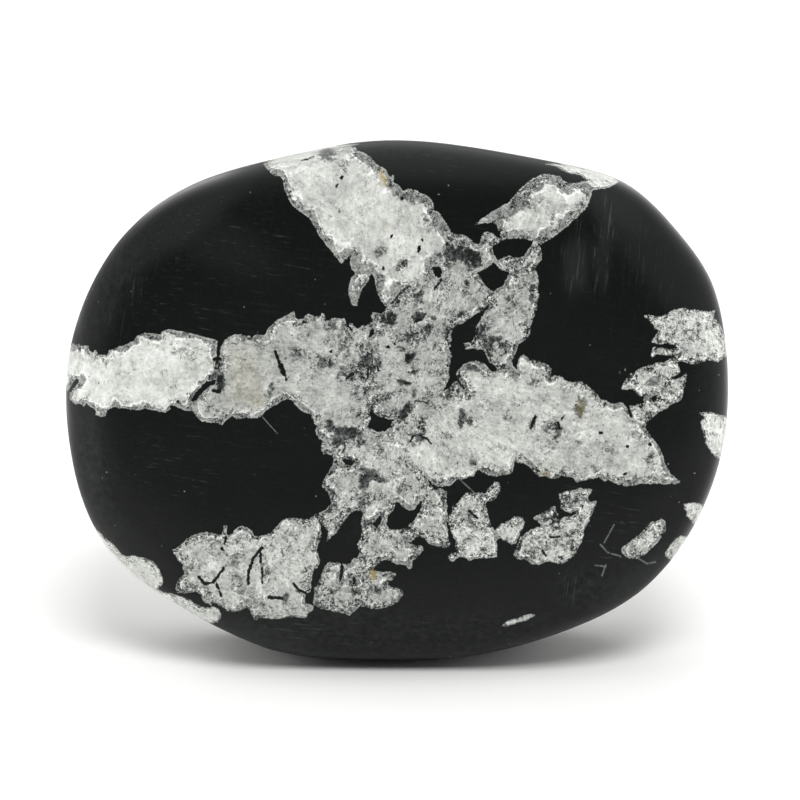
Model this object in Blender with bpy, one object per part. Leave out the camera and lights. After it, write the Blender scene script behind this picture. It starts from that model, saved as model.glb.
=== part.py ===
"""Chrysanthemum stone: one pebble ground by hand from black limestone with a crystal flower in it.

Metres, +Z up. The polished face looks along -Y and leans back, and the stone stands on a small
flat ground under its rim. The origin is the middle of the bounding box at the level of that foot.
"""

import math

import bmesh
import bpy
from mathutils import Matrix, Vector

# The outline of the face: each flat that the rim was ground to, as degrees round the outline from
# the right-hand side and the distance of the flat from the middle of the stone.
RIM_FLATS = (
    (5, 0.0600),
    (42, 0.0582),
    (80, 0.0474),
    (103, 0.0477),
    (127, 0.0554),
    (155, 0.0598),
    (182, 0.0606),
    (207, 0.0599),
    (240, 0.0515),
    (269, 0.0468),
    (290, 0.0491),
    (312, 0.0560),
    (330, 0.0584),
    (346, 0.0606),
)
RIM_SHARPNESS = 24

# The section from face to back: half the thickness on each side, and how boxy the roll of the rim is.
FACE_DEPTH = 0.0210
BACK_DEPTH = 0.0205
FACE_BOXINESS = 7.0
BACK_BOXINESS = 4.0

# Broad soft flats across the edge of the face: degrees round the outline, degrees that the flat is
# tipped away from the face, and its distance from the middle of the stone.
EDGE_FLATS = (
    (268, 34, 0.0372),
    (88, 24, 0.0345),
    (38, 40, 0.0465),
    (180, 38, 0.0478),
    (222, 36, 0.0455),
    (318, 36, 0.0460),
)
EDGE_SHARPNESS = 36

# How it stands: the lean of the face, and how much the foot takes off the lowest point of the rim.
LEAN_BACK = math.radians(10)
FOOT_CUT = 0.0018

# Slices through the block that the stone is ground from, across, deep and high.
SLICES = (36, 14, 28)
SLICE_CROWDING = 0.82

BLACK_LIMESTONE = (0.014, 0.016, 0.016, 1.0)


def clear_scene():
    for old in list(bpy.data.objects):
        bpy.data.objects.remove(old)


def rim_gauge(across, up):
    """1 on the outline of the stone, less inside it and more outside it."""
    total = 0.0
    for degrees, distance in RIM_FLATS:
        turn = math.radians(degrees)
        reach = (across * math.cos(turn) + up * math.sin(turn)) / distance
        total += max(reach, 0.0) ** RIM_SHARPNESS
    return total ** (1 / RIM_SHARPNESS)


def edge_gauge(across, deep, up):
    """1 on the nearest of the soft flats at the edge of the face."""
    total = 0.0
    for degrees, tip, distance in EDGE_FLATS:
        turn, tipped = math.radians(degrees), math.radians(tip)
        outward = Vector(
            (math.cos(turn) * math.sin(tipped), -math.cos(tipped), math.sin(turn) * math.sin(tipped))
        )
        reach = outward.dot((across, deep, up)) / distance
        total += max(reach, 0.0) ** EDGE_SHARPNESS
    return total ** (1 / EDGE_SHARPNESS)


def stone_gauge(point):
    """1 on the surface of the stone, in its own upright frame with the face towards -Y."""
    facing = point.y < 0
    depth = FACE_DEPTH if facing else BACK_DEPTH
    boxiness = FACE_BOXINESS if facing else BACK_BOXINESS
    pebble = (rim_gauge(point.x, point.z) ** boxiness + abs(point.y / depth) ** boxiness) ** (1 / boxiness)
    edges = edge_gauge(point.x, point.y, point.z)
    return (pebble**EDGE_SHARPNESS + edges**EDGE_SHARPNESS) ** (1 / EDGE_SHARPNESS)


def slice_places(count):
    """Places from -1 to 1 that crowd towards both ends, where the rim turns."""
    quarter = math.pi / 2 * SLICE_CROWDING
    return [math.sin(quarter * (2 * k / count - 1)) / math.sin(quarter) for k in range(1, count)]


def sliced_block():
    """A block from -1 to 1 whose six sides are cut into a lattice of small squares."""
    mesh = bmesh.new()
    bmesh.ops.create_cube(mesh, size=2.0)
    for axis, count in enumerate(SLICES):
        normal = Vector((0, 0, 0))
        normal[axis] = 1
        for place in slice_places(count):
            everything = mesh.verts[:] + mesh.edges[:] + mesh.faces[:]
            bmesh.ops.bisect_plane(mesh, geom=everything, plane_co=normal * place, plane_no=normal)
    return mesh


def grind(mesh):
    """Brings each point of the block straight in or out to the surface of the stone."""
    half_width = max(distance for _, distance in RIM_FLATS)
    half_height = min(distance for _, distance in RIM_FLATS)
    half_depth = (FACE_DEPTH + BACK_DEPTH) / 2
    for corner in mesh.verts:
        point = Vector((corner.co.x * half_width, corner.co.y * half_depth, corner.co.z * half_height))
        corner.co = point / stone_gauge(point)


def stand_up(mesh):
    """Leans the stone back, grinds its foot flat and brings the foot to the floor at the origin."""
    bmesh.ops.rotate(mesh, verts=mesh.verts, cent=(0, 0, 0), matrix=Matrix.Rotation(-LEAN_BACK, 3, "X"))
    foot = min(corner.co.z for corner in mesh.verts) + FOOT_CUT
    everything = mesh.verts[:] + mesh.edges[:] + mesh.faces[:]
    cut = bmesh.ops.bisect_plane(
        mesh, geom=everything, plane_co=(0, 0, foot), plane_no=(0, 0, 1), clear_inner=True
    )
    rim_of_foot = [part for part in cut["geom_cut"] if isinstance(part, bmesh.types.BMEdge)]
    bmesh.ops.edgenet_fill(mesh, edges=rim_of_foot)
    low, high = bounds(mesh)
    middle = (low + high) / 2
    bmesh.ops.translate(mesh, verts=mesh.verts, vec=(-middle.x, -middle.y, -foot))
    bmesh.ops.recalc_face_normals(mesh, faces=mesh.faces)


def bounds(mesh):
    low = Vector([min(corner.co[axis] for corner in mesh.verts) for axis in range(3)])
    high = Vector([max(corner.co[axis] for corner in mesh.verts) for axis in range(3)])
    return low, high


def mark_foot_edge(data):
    """The rim of the ground foot is the one sharp edge of the stone."""
    foot = max(data.polygons, key=lambda face: len(face.vertices))
    around_foot = set(foot.edge_keys)
    for edge in data.edges:
        edge.use_edge_sharp = edge.key in around_foot


def limestone():
    material = bpy.data.materials.new("black_limestone")
    material.use_nodes = True
    shader = material.node_tree.nodes["Principled BSDF"]
    shader.inputs["Base Color"].default_value = BLACK_LIMESTONE
    shader.inputs["Roughness"].default_value = 0.45
    shader.inputs["Metallic"].default_value = 0.0
    return material


def make_stone():
    mesh = sliced_block()
    grind(mesh)
    stand_up(mesh)
    data = bpy.data.meshes.new("stone")
    mesh.to_mesh(data)
    mesh.free()
    data.shade_smooth()
    mark_foot_edge(data)
    data.materials.append(limestone())
    stone = bpy.data.objects.new("stone", data)
    bpy.context.scene.collection.objects.link(stone)
    return stone


clear_scene()
make_stone()
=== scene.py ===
import math

import bpy
import numpy as np
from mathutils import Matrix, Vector


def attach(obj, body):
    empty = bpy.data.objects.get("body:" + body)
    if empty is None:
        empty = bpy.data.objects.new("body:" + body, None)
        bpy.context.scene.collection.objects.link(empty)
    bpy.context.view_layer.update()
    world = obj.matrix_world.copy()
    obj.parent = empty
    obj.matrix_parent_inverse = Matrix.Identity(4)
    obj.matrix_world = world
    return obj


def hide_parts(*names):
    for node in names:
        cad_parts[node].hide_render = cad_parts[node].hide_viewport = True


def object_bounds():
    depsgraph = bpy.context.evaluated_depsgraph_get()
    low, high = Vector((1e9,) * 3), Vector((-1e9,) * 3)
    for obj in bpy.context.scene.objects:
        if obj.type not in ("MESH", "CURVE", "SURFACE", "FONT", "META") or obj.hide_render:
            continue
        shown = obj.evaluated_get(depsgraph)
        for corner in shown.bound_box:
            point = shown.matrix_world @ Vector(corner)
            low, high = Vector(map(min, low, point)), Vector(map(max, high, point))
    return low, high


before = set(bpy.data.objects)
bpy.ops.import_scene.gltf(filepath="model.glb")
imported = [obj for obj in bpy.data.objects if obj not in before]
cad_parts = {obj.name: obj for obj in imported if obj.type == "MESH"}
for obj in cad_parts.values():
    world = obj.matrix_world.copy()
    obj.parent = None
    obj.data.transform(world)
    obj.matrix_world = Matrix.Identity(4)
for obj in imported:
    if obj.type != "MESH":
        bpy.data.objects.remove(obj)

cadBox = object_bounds()
lowest, highest = [Vector(corner) for corner in cadBox]
middle = (lowest + highest) / 2
mm = 0.001

# Camera: the sight line drops 16 degrees onto the face, from far enough to keep the outline square
camera = {
    "drop": math.radians(16),
    "distance": 0.80,
    "imageWidth": 145.2 * mm,          # what the square picture takes in at the stone
    "sensor": 36,                      # mm
    "outlineUnderMiddle": 1.35 * mm,   # the seen outline hangs this far below the middle of the box
    "outlineInPicture": (-0.64 * mm, 0.09 * mm),
}

sightDown = Vector((0, math.cos(camera["drop"]), -math.sin(camera["drop"])))
sightRight = Vector((1, 0, 0))
sightUp = Vector((0, math.sin(camera["drop"]), math.cos(camera["drop"])))
outlineMiddle = middle - sightUp * camera["outlineUnderMiddle"]
pictureRight, pictureUp = camera["outlineInPicture"]
eye = outlineMiddle - sightDown * camera["distance"] - sightRight * pictureRight - sightUp * pictureUp


def addCamera():
    bpy.ops.object.camera_add(location=eye, rotation=(math.pi / 2 - camera["drop"], 0, 0))
    cameraObject = bpy.context.object
    cameraObject.name = "photoCamera"
    cameraObject.data.sensor_width = camera["sensor"]
    cameraObject.data.lens = camera["sensor"] * camera["distance"] / camera["imageWidth"]
    cameraObject.data.clip_start = 0.01
    bpy.context.scene.camera = cameraObject


studio = {
    "floorSize": 6.0,
    "floorColour": (0.93, 0.928, 0.918, 1),
    "wallGlow": 0.77,                  # how bright the white walls and ceiling are
    "backdropGlow": 1.05,              # as the camera itself sees them
    "darkGlow": 0.04,                  # and the dark room behind the camera
    "darkAim": (0, -1, 0.06),
    "darkEdge": (math.radians(68), math.radians(38)),   # it ends this far off, and is full within this
    "keyPower": 36.0,
    "keySize": 1.0,
    "keyHeight": math.radians(55),
    "keyTurn": math.radians(10),       # to the right of the camera
    "keyDistance": 2.4,
    "rearPower": 5.0,                  # keeps the floor white behind the stone
    "rearSize": 0.8,
    "rearPlace": (0.0, 1.2, 1.0),
    "sidePower": 2.0,                  # reaches under the rim on both sides of the foot
    "sideSize": 0.5,
    "sidePlaces": [(-0.76, 0.12, 0.24), (0.76, 0.12, 0.24)],
}


def addFloor():
    bpy.ops.mesh.primitive_plane_add(size=studio["floorSize"], location=(0, 0, 0))
    floor = bpy.context.object
    floor.name = "floor"
    material = bpy.data.materials.new("palePaper")
    material.use_nodes = True
    shader = material.node_tree.nodes["Principled BSDF"]
    shader.inputs["Base Color"].default_value = studio["floorColour"]
    shader.inputs["Roughness"].default_value = 0.9
    shader.inputs["Specular IOR Level"].default_value = 0.1
    floor.data.materials.append(material)


def addSoftbox(name, place, aim, size, power):
    bpy.ops.object.light_add(type="AREA", location=place)
    softbox = bpy.context.object
    softbox.name = name
    softbox.data.size = size
    softbox.data.energy = power
    softbox.rotation_euler = (place - aim).to_track_quat("Z", "Y").to_euler()
    softbox.visible_glossy = False     # thick diffusers, which leave no glare on the polish


def addLights():
    height, turn = studio["keyHeight"], studio["keyTurn"]
    away = Vector((math.sin(turn) * math.cos(height), -math.cos(turn) * math.cos(height), math.sin(height)))
    keyPlace = middle + away * studio["keyDistance"]
    addSoftbox("keySoftbox", keyPlace, middle, studio["keySize"], studio["keyPower"])
    rearPlace = Vector(studio["rearPlace"])
    under = rearPlace - Vector((0, 0, 1))
    addSoftbox("rearSoftbox", rearPlace, under, studio["rearSize"], studio["rearPower"])
    for sidePlace in studio["sidePlaces"]:
        addSoftbox("sideSoftbox", Vector(sidePlace), middle, studio["sideSize"], studio["sidePower"])


def addWorld():
    world = bpy.data.worlds.new("studioWalls")
    world.use_nodes = True
    bpy.context.scene.world = world
    nodes, links = world.node_tree.nodes, world.node_tree.links
    background = nodes["Background"]
    background.inputs["Color"].default_value = (1, 1, 1, 1)
    place = nodes.new("ShaderNodeTexCoord")
    towardsDark = nodes.new("ShaderNodeVectorMath")
    towardsDark.operation = "DOT_PRODUCT"
    towardsDark.inputs[1].default_value = Vector(studio["darkAim"]).normalized()
    links.new(place.outputs["Generated"], towardsDark.inputs[0])
    outer, inner = studio["darkEdge"]
    glow = nodes.new("ShaderNodeMapRange")
    glow.interpolation_type = "SMOOTHSTEP"
    glow.inputs["From Min"].default_value = math.cos(outer)
    glow.inputs["From Max"].default_value = math.cos(inner)
    glow.inputs["To Min"].default_value = studio["wallGlow"]
    glow.inputs["To Max"].default_value = studio["darkGlow"]
    links.new(towardsDark.outputs["Value"], glow.inputs["Value"])
    seen = nodes.new("ShaderNodeLightPath")
    pick = nodes.new("ShaderNodeMix")
    pick.data_type = "FLOAT"
    links.new(seen.outputs["Is Camera Ray"], pick.inputs["Factor"])
    links.new(glow.outputs["Result"], pick.inputs["A"])
    pick.inputs["B"].default_value = studio["backdropGlow"]
    links.new(pick.outputs["Result"], background.inputs["Strength"])


# The CAD nodes come selected
for thing in bpy.context.selected_objects:
    thing.select_set(False)
addCamera()
addFloor()
addLights()
addWorld()
scene = bpy.context.scene
scene.view_settings.view_transform = "Standard"
print("camera, floor and lights are up")

# The flower as seen, in millimetres right and up from the middle of the stone's outline. Each crystal
# has its outline, how pale its body is, how grainy, how wide the grey rind along its edge is, and how
# far behind the face it runs on over the rim, 0 where it doesn't reach the rim
crystals = {
    "topPetal": {
        "pale": 0.765, "grain": 0.13, "rind": 1.5, "depth": 27,
        "outline": [
            (-24.0, 42.6), (-23.3, 41.6), (-22.2, 40.6), (-21.2, 40.6), (-20.6, 39.9), (-20.3, 38.1),
            (-19.5, 36.4), (-18.9, 35.1), (-17.4, 34.1), (-15.8, 33.0), (-15.0, 31.6), (-14.4, 30.4),
            (-13.4, 28.9), (-12.5, 27.7), (-11.5, 26.5), (-10.7, 25.5), (-10.0, 24.6), (-9.3, 25.3),
            (-8.7, 26.0), (-8.0, 26.7), (-8.5, 24.9), (-8.2, 23.9), (-7.6, 23.2), (-7.7, 22.5),
            (-8.4, 21.7), (-8.7, 20.0), (-8.6, 18.6), (-8.2, 17.4), (-7.7, 16.8), (-7.2, 17.1),
            (-6.9, 18.2), (-6.5, 19.3), (-6.1, 20.4), (-5.6, 20.8), (-5.1, 21.5), (-4.9, 22.3),
            (-4.4, 23.0), (-3.9, 21.8), (-3.8, 20.6), (-3.4, 19.3), (-2.9, 18.0), (-2.2, 17.1),
            (-1.7, 16.9), (-0.6, 17.9), (1.6, 20.2), (6.0, 21.0), (9.0, 24.0), (10.4, 29.4),
            (9.9, 30.4), (9.2, 31.6), (8.4, 33.0), (7.9, 33.8), (6.8, 34.3), (6.8, 35.1),
            (6.5, 36.1), (5.5, 37.1), (4.3, 37.4), (3.5, 38.1), (2.1, 38.2), (1.2, 37.8),
            (0.4, 38.9), (-0.8, 39.6), (-0.3, 40.2), (-0.7, 40.9), (-1.3, 40.3), (-1.5, 40.9),
            (-2.3, 42.1), (-3.5, 42.6), (-4.7, 43.9), (-5.9, 44.8), (-7.1, 45.2), (-7.7, 46.0),
            (-8.3, 47.3), (-8.9, 50.0), (-16.0, 49.0), (-23.0, 45.5),
        ],
    },
    "heart": {
        "pale": 0.65, "grain": 0.46, "rind": 0.6, "depth": 0,
        "outline": [
            (9.9, 30.4), (10.9, 29.9), (12.0, 29.9), (13.2, 29.3), (13.9, 28.7), (14.7, 28.0),
            (15.2, 28.4), (15.4, 29.5), (16.0, 30.4), (16.8, 30.5), (17.6, 30.0), (18.4, 29.4),
            (19.1, 29.1), (25.0, 28.9), (26.4, 28.5), (26.0, 27.9), (26.3, 27.2), (26.4, 26.3),
            (26.3, 25.4), (25.7, 24.6), (25.1, 23.7), (25.7, 22.5), (25.8, 21.3), (25.6, 20.2),
            (25.9, 19.2), (25.7, 18.2), (25.5, 16.8), (25.2, 15.8), (24.8, 14.6), (24.4, 13.4),
            (24.2, 12.0), (23.5, 10.8), (22.3, 10.1), (21.8, 9.1), (21.5, 7.9), (21.0, 7.2),
            (20.2, 6.3), (19.0, 4.0), (14.0, 1.0), (9.0, -4.0), (0.0, -8.0), (-8.0, -9.0),
            (-12.0, -3.0), (-12.0, 8.0), (-9.0, 13.2), (-8.3, 13.9), (-7.8, 13.6), (-7.3, 12.9),
            (-6.3, 13.0), (-5.7, 13.6), (-4.9, 13.8), (-4.2, 14.2), (-4.6, 15.3), (-4.2, 15.8),
            (-2.6, 15.6), (-2.1, 15.9), (-1.6, 16.9), (-0.6, 17.4), (0.5, 18.6), (1.8, 19.8),
            (3.0, 24.0), (6.0, 28.0),
        ],
    },
    "leftPetal": {
        "pale": 0.825, "grain": 0.10, "rind": 0.9, "depth": 25,
        "outline": [
            (-62.0, 10.0), (-59.3, 9.5), (-58.6, 10.3), (-58.3, 9.8), (-57.6, 10.1), (-57.3, 9.7),
            (-56.0, 9.8), (-55.6, 8.8), (-55.0, 8.6), (-54.6, 9.1), (-54.1, 8.1), (-52.5, 8.1),
            (-51.9, 9.1), (-51.2, 9.3), (-49.5, 9.8), (-47.8, 10.6), (-47.0, 11.6), (-45.7, 12.1),
            (-43.8, 11.9), (-42.9, 11.8), (-42.6, 12.3), (-41.6, 12.7), (-40.2, 12.6), (-38.5, 12.2),
            (-36.8, 11.9), (-34.8, 11.3), (-33.1, 10.9), (-32.4, 10.5), (-32.5, 9.5), (-32.8, 7.0),
            (-33.0, 5.0), (-34.8, 2.9), (-36.0, 1.3), (-36.9, 0.0), (-36.9, -2.1), (-38.5, -1.9),
            (-39.9, -1.3), (-40.9, -0.9), (-41.2, -1.8), (-41.9, -2.4), (-43.8, -2.0), (-45.7, -1.6),
            (-46.5, -1.9), (-47.8, -1.9), (-49.1, -1.6), (-50.4, -1.6), (-51.4, -1.2), (-52.4, -1.9),
            (-52.9, -3.0), (-53.8, -3.1), (-54.6, -2.8), (-54.5, -2.0), (-55.6, -1.3), (-56.3, -0.6),
            (-56.8, -1.3), (-57.3, -0.7), (-58.3, -0.9), (-58.9, -0.4), (-59.4, 0.4), (-59.2, 1.3),
            (-60.2, 1.9), (-62.0, 2.0),
        ],
    },
    "leftInner": {
        "pale": 0.675, "grain": 0.20, "rind": 0.8, "depth": 0,
        "outline": [
            (-31.9, 9.5), (-31.4, 10.5), (-30.5, 11.3), (-29.5, 11.8), (-28.0, 11.8), (-26.7, 11.4),
            (-26.1, 11.3), (-25.5, 11.8), (-23.9, 11.6), (-23.6, 12.5), (-22.6, 13.6), (-21.5, 14.5),
            (-20.5, 15.0), (-19.5, 15.6), (-18.7, 16.1), (-18.4, 15.7), (-18.5, 15.0), (-17.9, 14.5),
            (-16.8, 14.6), (-16.5, 15.2), (-16.0, 15.5), (-14.7, 15.0), (-13.8, 15.2), (-13.5, 15.7),
            (-12.9, 15.3), (-13.0, 14.3), (-12.3, 14.3), (-11.4, 14.8), (-9.4, 14.6), (-9.3, 13.9),
            (-8.9, 13.2), (-5.0, 9.0), (-4.5, -2.0), (-5.5, -5.0), (-9.0, -9.0), (-11.8, -9.9),
            (-13.3, -9.8), (-13.8, -8.9), (-13.3, -7.4), (-14.1, -7.1), (-14.7, -5.7), (-14.4, -4.7),
            (-15.0, -4.3), (-14.7, -3.7), (-15.4, -3.4), (-15.4, -2.8), (-16.4, -2.4), (-17.7, -1.6),
            (-18.5, -0.7), (-19.2, 0.0), (-20.1, 0.1), (-21.3, -0.6), (-22.6, -1.3), (-23.8, -2.1),
            (-24.6, -3.0), (-26.0, -3.5), (-27.2, -3.3), (-28.9, -3.5), (-29.9, -3.0), (-30.9, -3.8),
            (-31.6, -4.6), (-32.4, -4.2), (-33.3, -4.2), (-35.3, -4.0), (-36.3, -3.1), (-36.9, -2.1),
            (-36.8, -0.2), (-35.3, 1.1), (-34.1, 2.3), (-33.0, 3.2), (-32.2, 5.0), (-32.2, 7.0),
        ],
    },
    "leftBridge": {
        "pale": 0.42, "grain": 0.85, "rind": 0.1, "depth": 0,
        "outline": [
            (-33.0, 6.6), (-31.2, 6.8), (-30.6, 5.0), (-30.4, 2.2), (-31.9, 2.0), (-32.9, 3.6),
            (-34.6, 3.2), (-34.3, 4.4), (-33.5, 5.2),
        ],
    },
    "rightPetal": {
        "pale": 0.74, "grain": 0.26, "rind": 0.8, "depth": 0,
        "outline": [
            (10.9, 4.6), (11.1, 5.3), (11.7, 5.9), (12.3, 6.4), (13.2, 6.8), (14.0, 7.0),
            (15.0, 6.9), (15.9, 6.6), (16.5, 6.0), (17.0, 5.2), (17.7, 5.0), (18.6, 5.2),
            (19.4, 5.6), (20.3, 6.3), (20.9, 6.2), (21.4, 5.8), (21.8, 5.5), (22.0, 6.6),
            (22.1, 7.3), (22.6, 7.9), (23.0, 8.1), (23.5, 7.8), (24.1, 7.6), (24.1, 7.1),
            (25.0, 7.1), (25.9, 6.9), (26.9, 6.5), (27.6, 6.2), (28.1, 5.6), (28.0, 4.8),
            (27.9, 4.0), (28.6, 4.3), (29.5, 4.4), (30.0, 4.1), (30.5, 3.6), (31.3, 3.3),
            (31.9, 3.0), (32.7, 3.2), (33.7, 3.2), (34.5, 2.6), (35.2, 2.0), (36.0, 1.3),
            (36.8, 0.4), (37.2, -0.2), (38.0, -0.1), (38.5, -0.6), (39.0, -0.8), (39.8, -0.7),
            (41.1, -0.6), (41.6, -1.2), (42.1, -2.0), (43.0, -3.6), (45.0, -4.8), (45.9, -6.2),
            (46.7, -7.3), (47.5, -8.2), (48.0, -9.2), (48.3, -10.2), (48.7, -11.4), (49.2, -12.6),
            (49.8, -13.5), (50.7, -14.3), (51.7, -15.0), (50.5, -15.4), (49.0, -15.3), (47.4, -15.3),
            (45.8, -15.3), (44.2, -15.3), (42.6, -15.6), (41.4, -15.8), (40.9, -15.3), (40.2, -15.5),
            (39.3, -15.1), (38.5, -14.6), (37.8, -14.8), (37.2, -14.6), (36.7, -13.9), (36.2, -14.3),
            (35.0, -14.4), (33.9, -14.8), (32.6, -15.0), (32.2, -14.2), (30.9, -14.0), (30.0, -13.8),
            (29.2, -14.2), (28.2, -14.4), (27.4, -14.1), (26.9, -13.7), (26.0, -14.0), (25.0, -13.1),
            (24.1, -12.2), (23.1, -11.6), (22.2, -11.5), (21.6, -11.1), (21.3, -12.0), (21.1, -12.9),
            (20.9, -13.5), (19.6, -13.7), (18.7, -13.8), (17.7, -14.0), (16.6, -13.6), (15.6, -13.1),
            (14.8, -12.7), (14.4, -13.3), (13.9, -13.9), (13.0, -14.1), (12.0, -14.4), (11.2, -14.4),
            (10.4, -15.0), (9.7, -15.8), (8.9, -15.8), (8.3, -15.4), (7.9, -15.1), (7.5, -15.8),
            (6.9, -15.6), (6.5, -15.0), (5.8, -14.6), (1.0, -12.0), (0.0, -6.0), (6.0, -1.0),
            (8.6, 1.2), (10.8, 3.0),
        ],
    },
    "lowerPetals": {
        "pale": 0.72, "grain": 0.48, "rind": 0.7, "depth": 0,
        "outline": [
            (5.8, -14.6), (6.4, -15.4), (7.1, -16.0), (7.9, -16.4), (8.6, -17.2), (9.1, -18.0),
            (9.2, -20.5), (9.3, -21.5), (9.0, -22.5), (9.3, -23.3), (9.7, -25.2), (9.9, -26.0),
            (9.5, -26.7), (8.7, -26.9), (7.8, -26.7), (6.6, -26.5), (5.8, -26.0), (5.2, -25.4),
            (4.2, -24.7), (3.6, -24.9), (3.0, -25.4), (2.2, -26.2), (3.0, -26.4), (5.0, -26.6),
            (4.8, -27.3), (4.2, -28.2), (3.4, -28.9), (2.8, -29.5), (2.9, -30.1), (2.6, -30.8),
            (2.1, -30.7), (1.8, -30.1), (0.3, -29.9), (-0.7, -30.9), (-0.2, -31.0), (-0.1, -31.8),
            (-0.6, -32.6), (-1.3, -33.2), (-2.0, -33.7), (-0.8, -34.0), (0.2, -34.2), (0.9, -34.6),
            (1.2, -35.3), (0.9, -36.0), (0.2, -36.7), (-0.6, -37.2), (-1.8, -37.7), (-3.0, -38.0),
            (-4.5, -38.0), (-5.6, -37.7), (-6.6, -37.4), (-7.1, -38.0), (-7.9, -38.6), (-8.5, -39.3),
            (-9.2, -38.9), (-10.6, -38.6), (-12.0, -38.3), (-13.6, -38.0), (-14.8, -37.5),
            (-15.1, -36.9), (-14.9, -35.4), (-14.8, -34.5), (-14.3, -33.4), (-13.7, -32.3),
            (-13.4, -31.2), (-13.1, -30.4), (-12.5, -29.8), (-12.0, -29.4), (-11.4, -29.7),
            (-10.7, -29.5), (-10.0, -29.8), (-8.9, -29.9), (-8.4, -29.9), (-7.9, -29.0), (-7.2, -28.7),
            (-6.6, -28.0), (-6.8, -27.3), (-7.1, -26.3), (-6.7, -25.5), (-6.4, -24.5), (-6.2, -23.3),
            (-6.5, -22.3), (-6.2, -21.3), (-6.1, -20.3), (-7.4, -20.1), (-8.2, -20.5), (-9.2, -21.6),
            (-9.8, -22.4), (-10.3, -23.3), (-11.0, -24.2), (-11.8, -24.9), (-12.5, -25.8),
            (-12.7, -25.3), (-12.3, -24.5), (-12.5, -23.8), (-13.2, -23.1), (-13.6, -22.4),
            (-14.0, -21.4), (-14.1, -20.7), (-13.3, -20.3), (-12.6, -19.7), (-12.2, -19.1),
            (-11.6, -18.8), (-12.0, -18.1), (-11.9, -17.2), (-12.3, -16.6), (-13.0, -16.5),
            (-13.5, -15.8), (-13.3, -14.8), (-12.7, -13.8), (-12.2, -12.9), (-11.6, -12.1),
            (-11.4, -11.0), (-11.6, -10.1), (-8.0, -6.0), (4.0, -8.0),
        ],
    },
    "lowerLeftBlock": {
        "pale": 0.75, "grain": 0.40, "rind": 0.5, "depth": 0,
        "outline": [
            (-40.7, -27.3), (-40.0, -27.0), (-39.3, -26.5), (-38.6, -25.8), (-38.0, -25.3),
            (-37.2, -24.8), (-36.3, -24.4), (-35.2, -24.1), (-34.0, -24.1), (-33.2, -24.3),
            (-32.2, -24.6), (-31.6, -24.4), (-31.4, -23.5), (-31.3, -22.8), (-30.7, -22.8),
            (-30.8, -23.5), (-30.9, -24.6), (-30.4, -24.7), (-29.8, -24.3), (-29.4, -23.7),
            (-28.8, -23.2), (-28.0, -22.9), (-27.2, -23.2), (-26.5, -23.7), (-26.0, -24.0),
            (-25.9, -24.8), (-25.0, -24.8), (-23.9, -24.6), (-22.9, -24.3), (-22.2, -23.5),
            (-21.6, -22.9), (-21.0, -22.2), (-20.3, -21.7), (-19.4, -21.5), (-18.4, -21.5),
            (-17.5, -21.7), (-16.5, -21.8), (-15.7, -21.5), (-15.0, -21.0), (-14.5, -20.8),
            (-14.1, -21.3), (-13.9, -22.6), (-13.7, -23.9), (-13.7, -25.2), (-14.2, -26.2),
            (-14.5, -27.3), (-14.1, -28.3), (-13.9, -29.5), (-14.3, -30.4), (-15.0, -31.0),
            (-15.4, -32.3), (-15.5, -33.6), (-15.6, -34.8), (-16.3, -35.2), (-16.6, -36.0),
            (-16.8, -36.7), (-16.0, -37.1), (-15.0, -37.3), (-15.2, -38.2), (-16.0, -38.9),
            (-16.4, -39.7), (-17.5, -39.5), (-18.9, -39.5), (-20.4, -39.6), (-22.0, -39.8),
            (-23.6, -39.7), (-25.0, -39.6), (-25.6, -40.1), (-26.2, -39.3), (-26.5, -38.3),
            (-27.3, -37.7), (-28.3, -38.4), (-29.2, -38.5), (-30.2, -38.3), (-31.0, -38.4),
            (-31.9, -37.6), (-32.5, -37.1), (-33.1, -36.7), (-33.7, -37.4), (-34.2, -37.1),
            (-35.1, -36.6), (-35.3, -36.1), (-35.5, -35.4), (-36.4, -34.9), (-37.5, -35.0),
            (-38.6, -35.2), (-39.8, -35.0), (-40.1, -34.3), (-39.8, -33.2), (-39.4, -32.4),
            (-38.7, -32.0), (-38.4, -31.4), (-38.8, -30.6), (-38.7, -30.0), (-39.3, -29.5),
            (-39.8, -29.0), (-40.1, -28.3),
        ],
    },
    "upperRightPetal": {
        "pale": 0.76, "grain": 0.25, "rind": 1.7, "depth": 0,
        "outline": [
            (13.9, 31.6), (14.8, 32.2), (15.8, 33.0), (17.0, 33.9), (18.4, 34.7), (19.6, 35.3),
            (20.6, 35.9), (21.4, 37.0), (22.4, 38.1), (23.4, 39.1), (24.4, 39.9), (25.6, 40.5),
            (26.6, 40.9), (27.6, 40.9), (28.8, 40.7), (29.6, 40.5), (30.1, 39.8), (31.0, 39.4),
            (32.0, 39.2), (33.2, 39.4), (34.4, 39.7), (35.8, 39.3), (35.6, 38.1), (35.3, 37.0),
            (35.0, 35.9), (34.6, 34.9), (33.9, 34.2), (33.1, 33.4), (32.2, 32.6), (31.3, 31.7),
            (30.3, 30.9), (29.3, 30.2), (28.3, 29.4), (27.2, 28.7), (26.4, 28.4), (24.9, 28.4),
            (23.5, 29.1), (22.0, 29.3), (20.5, 29.2), (19.1, 29.0), (18.9, 30.2), (18.5, 31.0),
            (18.2, 31.8), (17.2, 32.1), (16.0, 32.0), (14.9, 31.8),
        ],
    },
    "upperRightRim": {
        "pale": 0.84, "grain": 0.20, "rind": 0.3, "depth": 24,
        "outline": [
            (26.9, 42.7), (28.0, 43.0), (28.8, 43.1), (29.2, 46.0), (34.0, 46.0), (42.0, 41.5),
            (40.6, 39.6), (39.4, 38.9), (38.4, 38.5), (37.4, 38.2), (35.6, 38.1), (34.6, 38.9),
            (34.4, 39.9), (33.6, 40.6), (32.5, 41.0), (31.3, 41.0), (30.1, 41.6), (29.0, 42.3),
            (28.0, 42.6),
        ],
    },
    "rightRimPetal": {
        "pale": 0.78, "grain": 0.50, "rind": 0.5, "depth": 26,
        "outline": [
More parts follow.
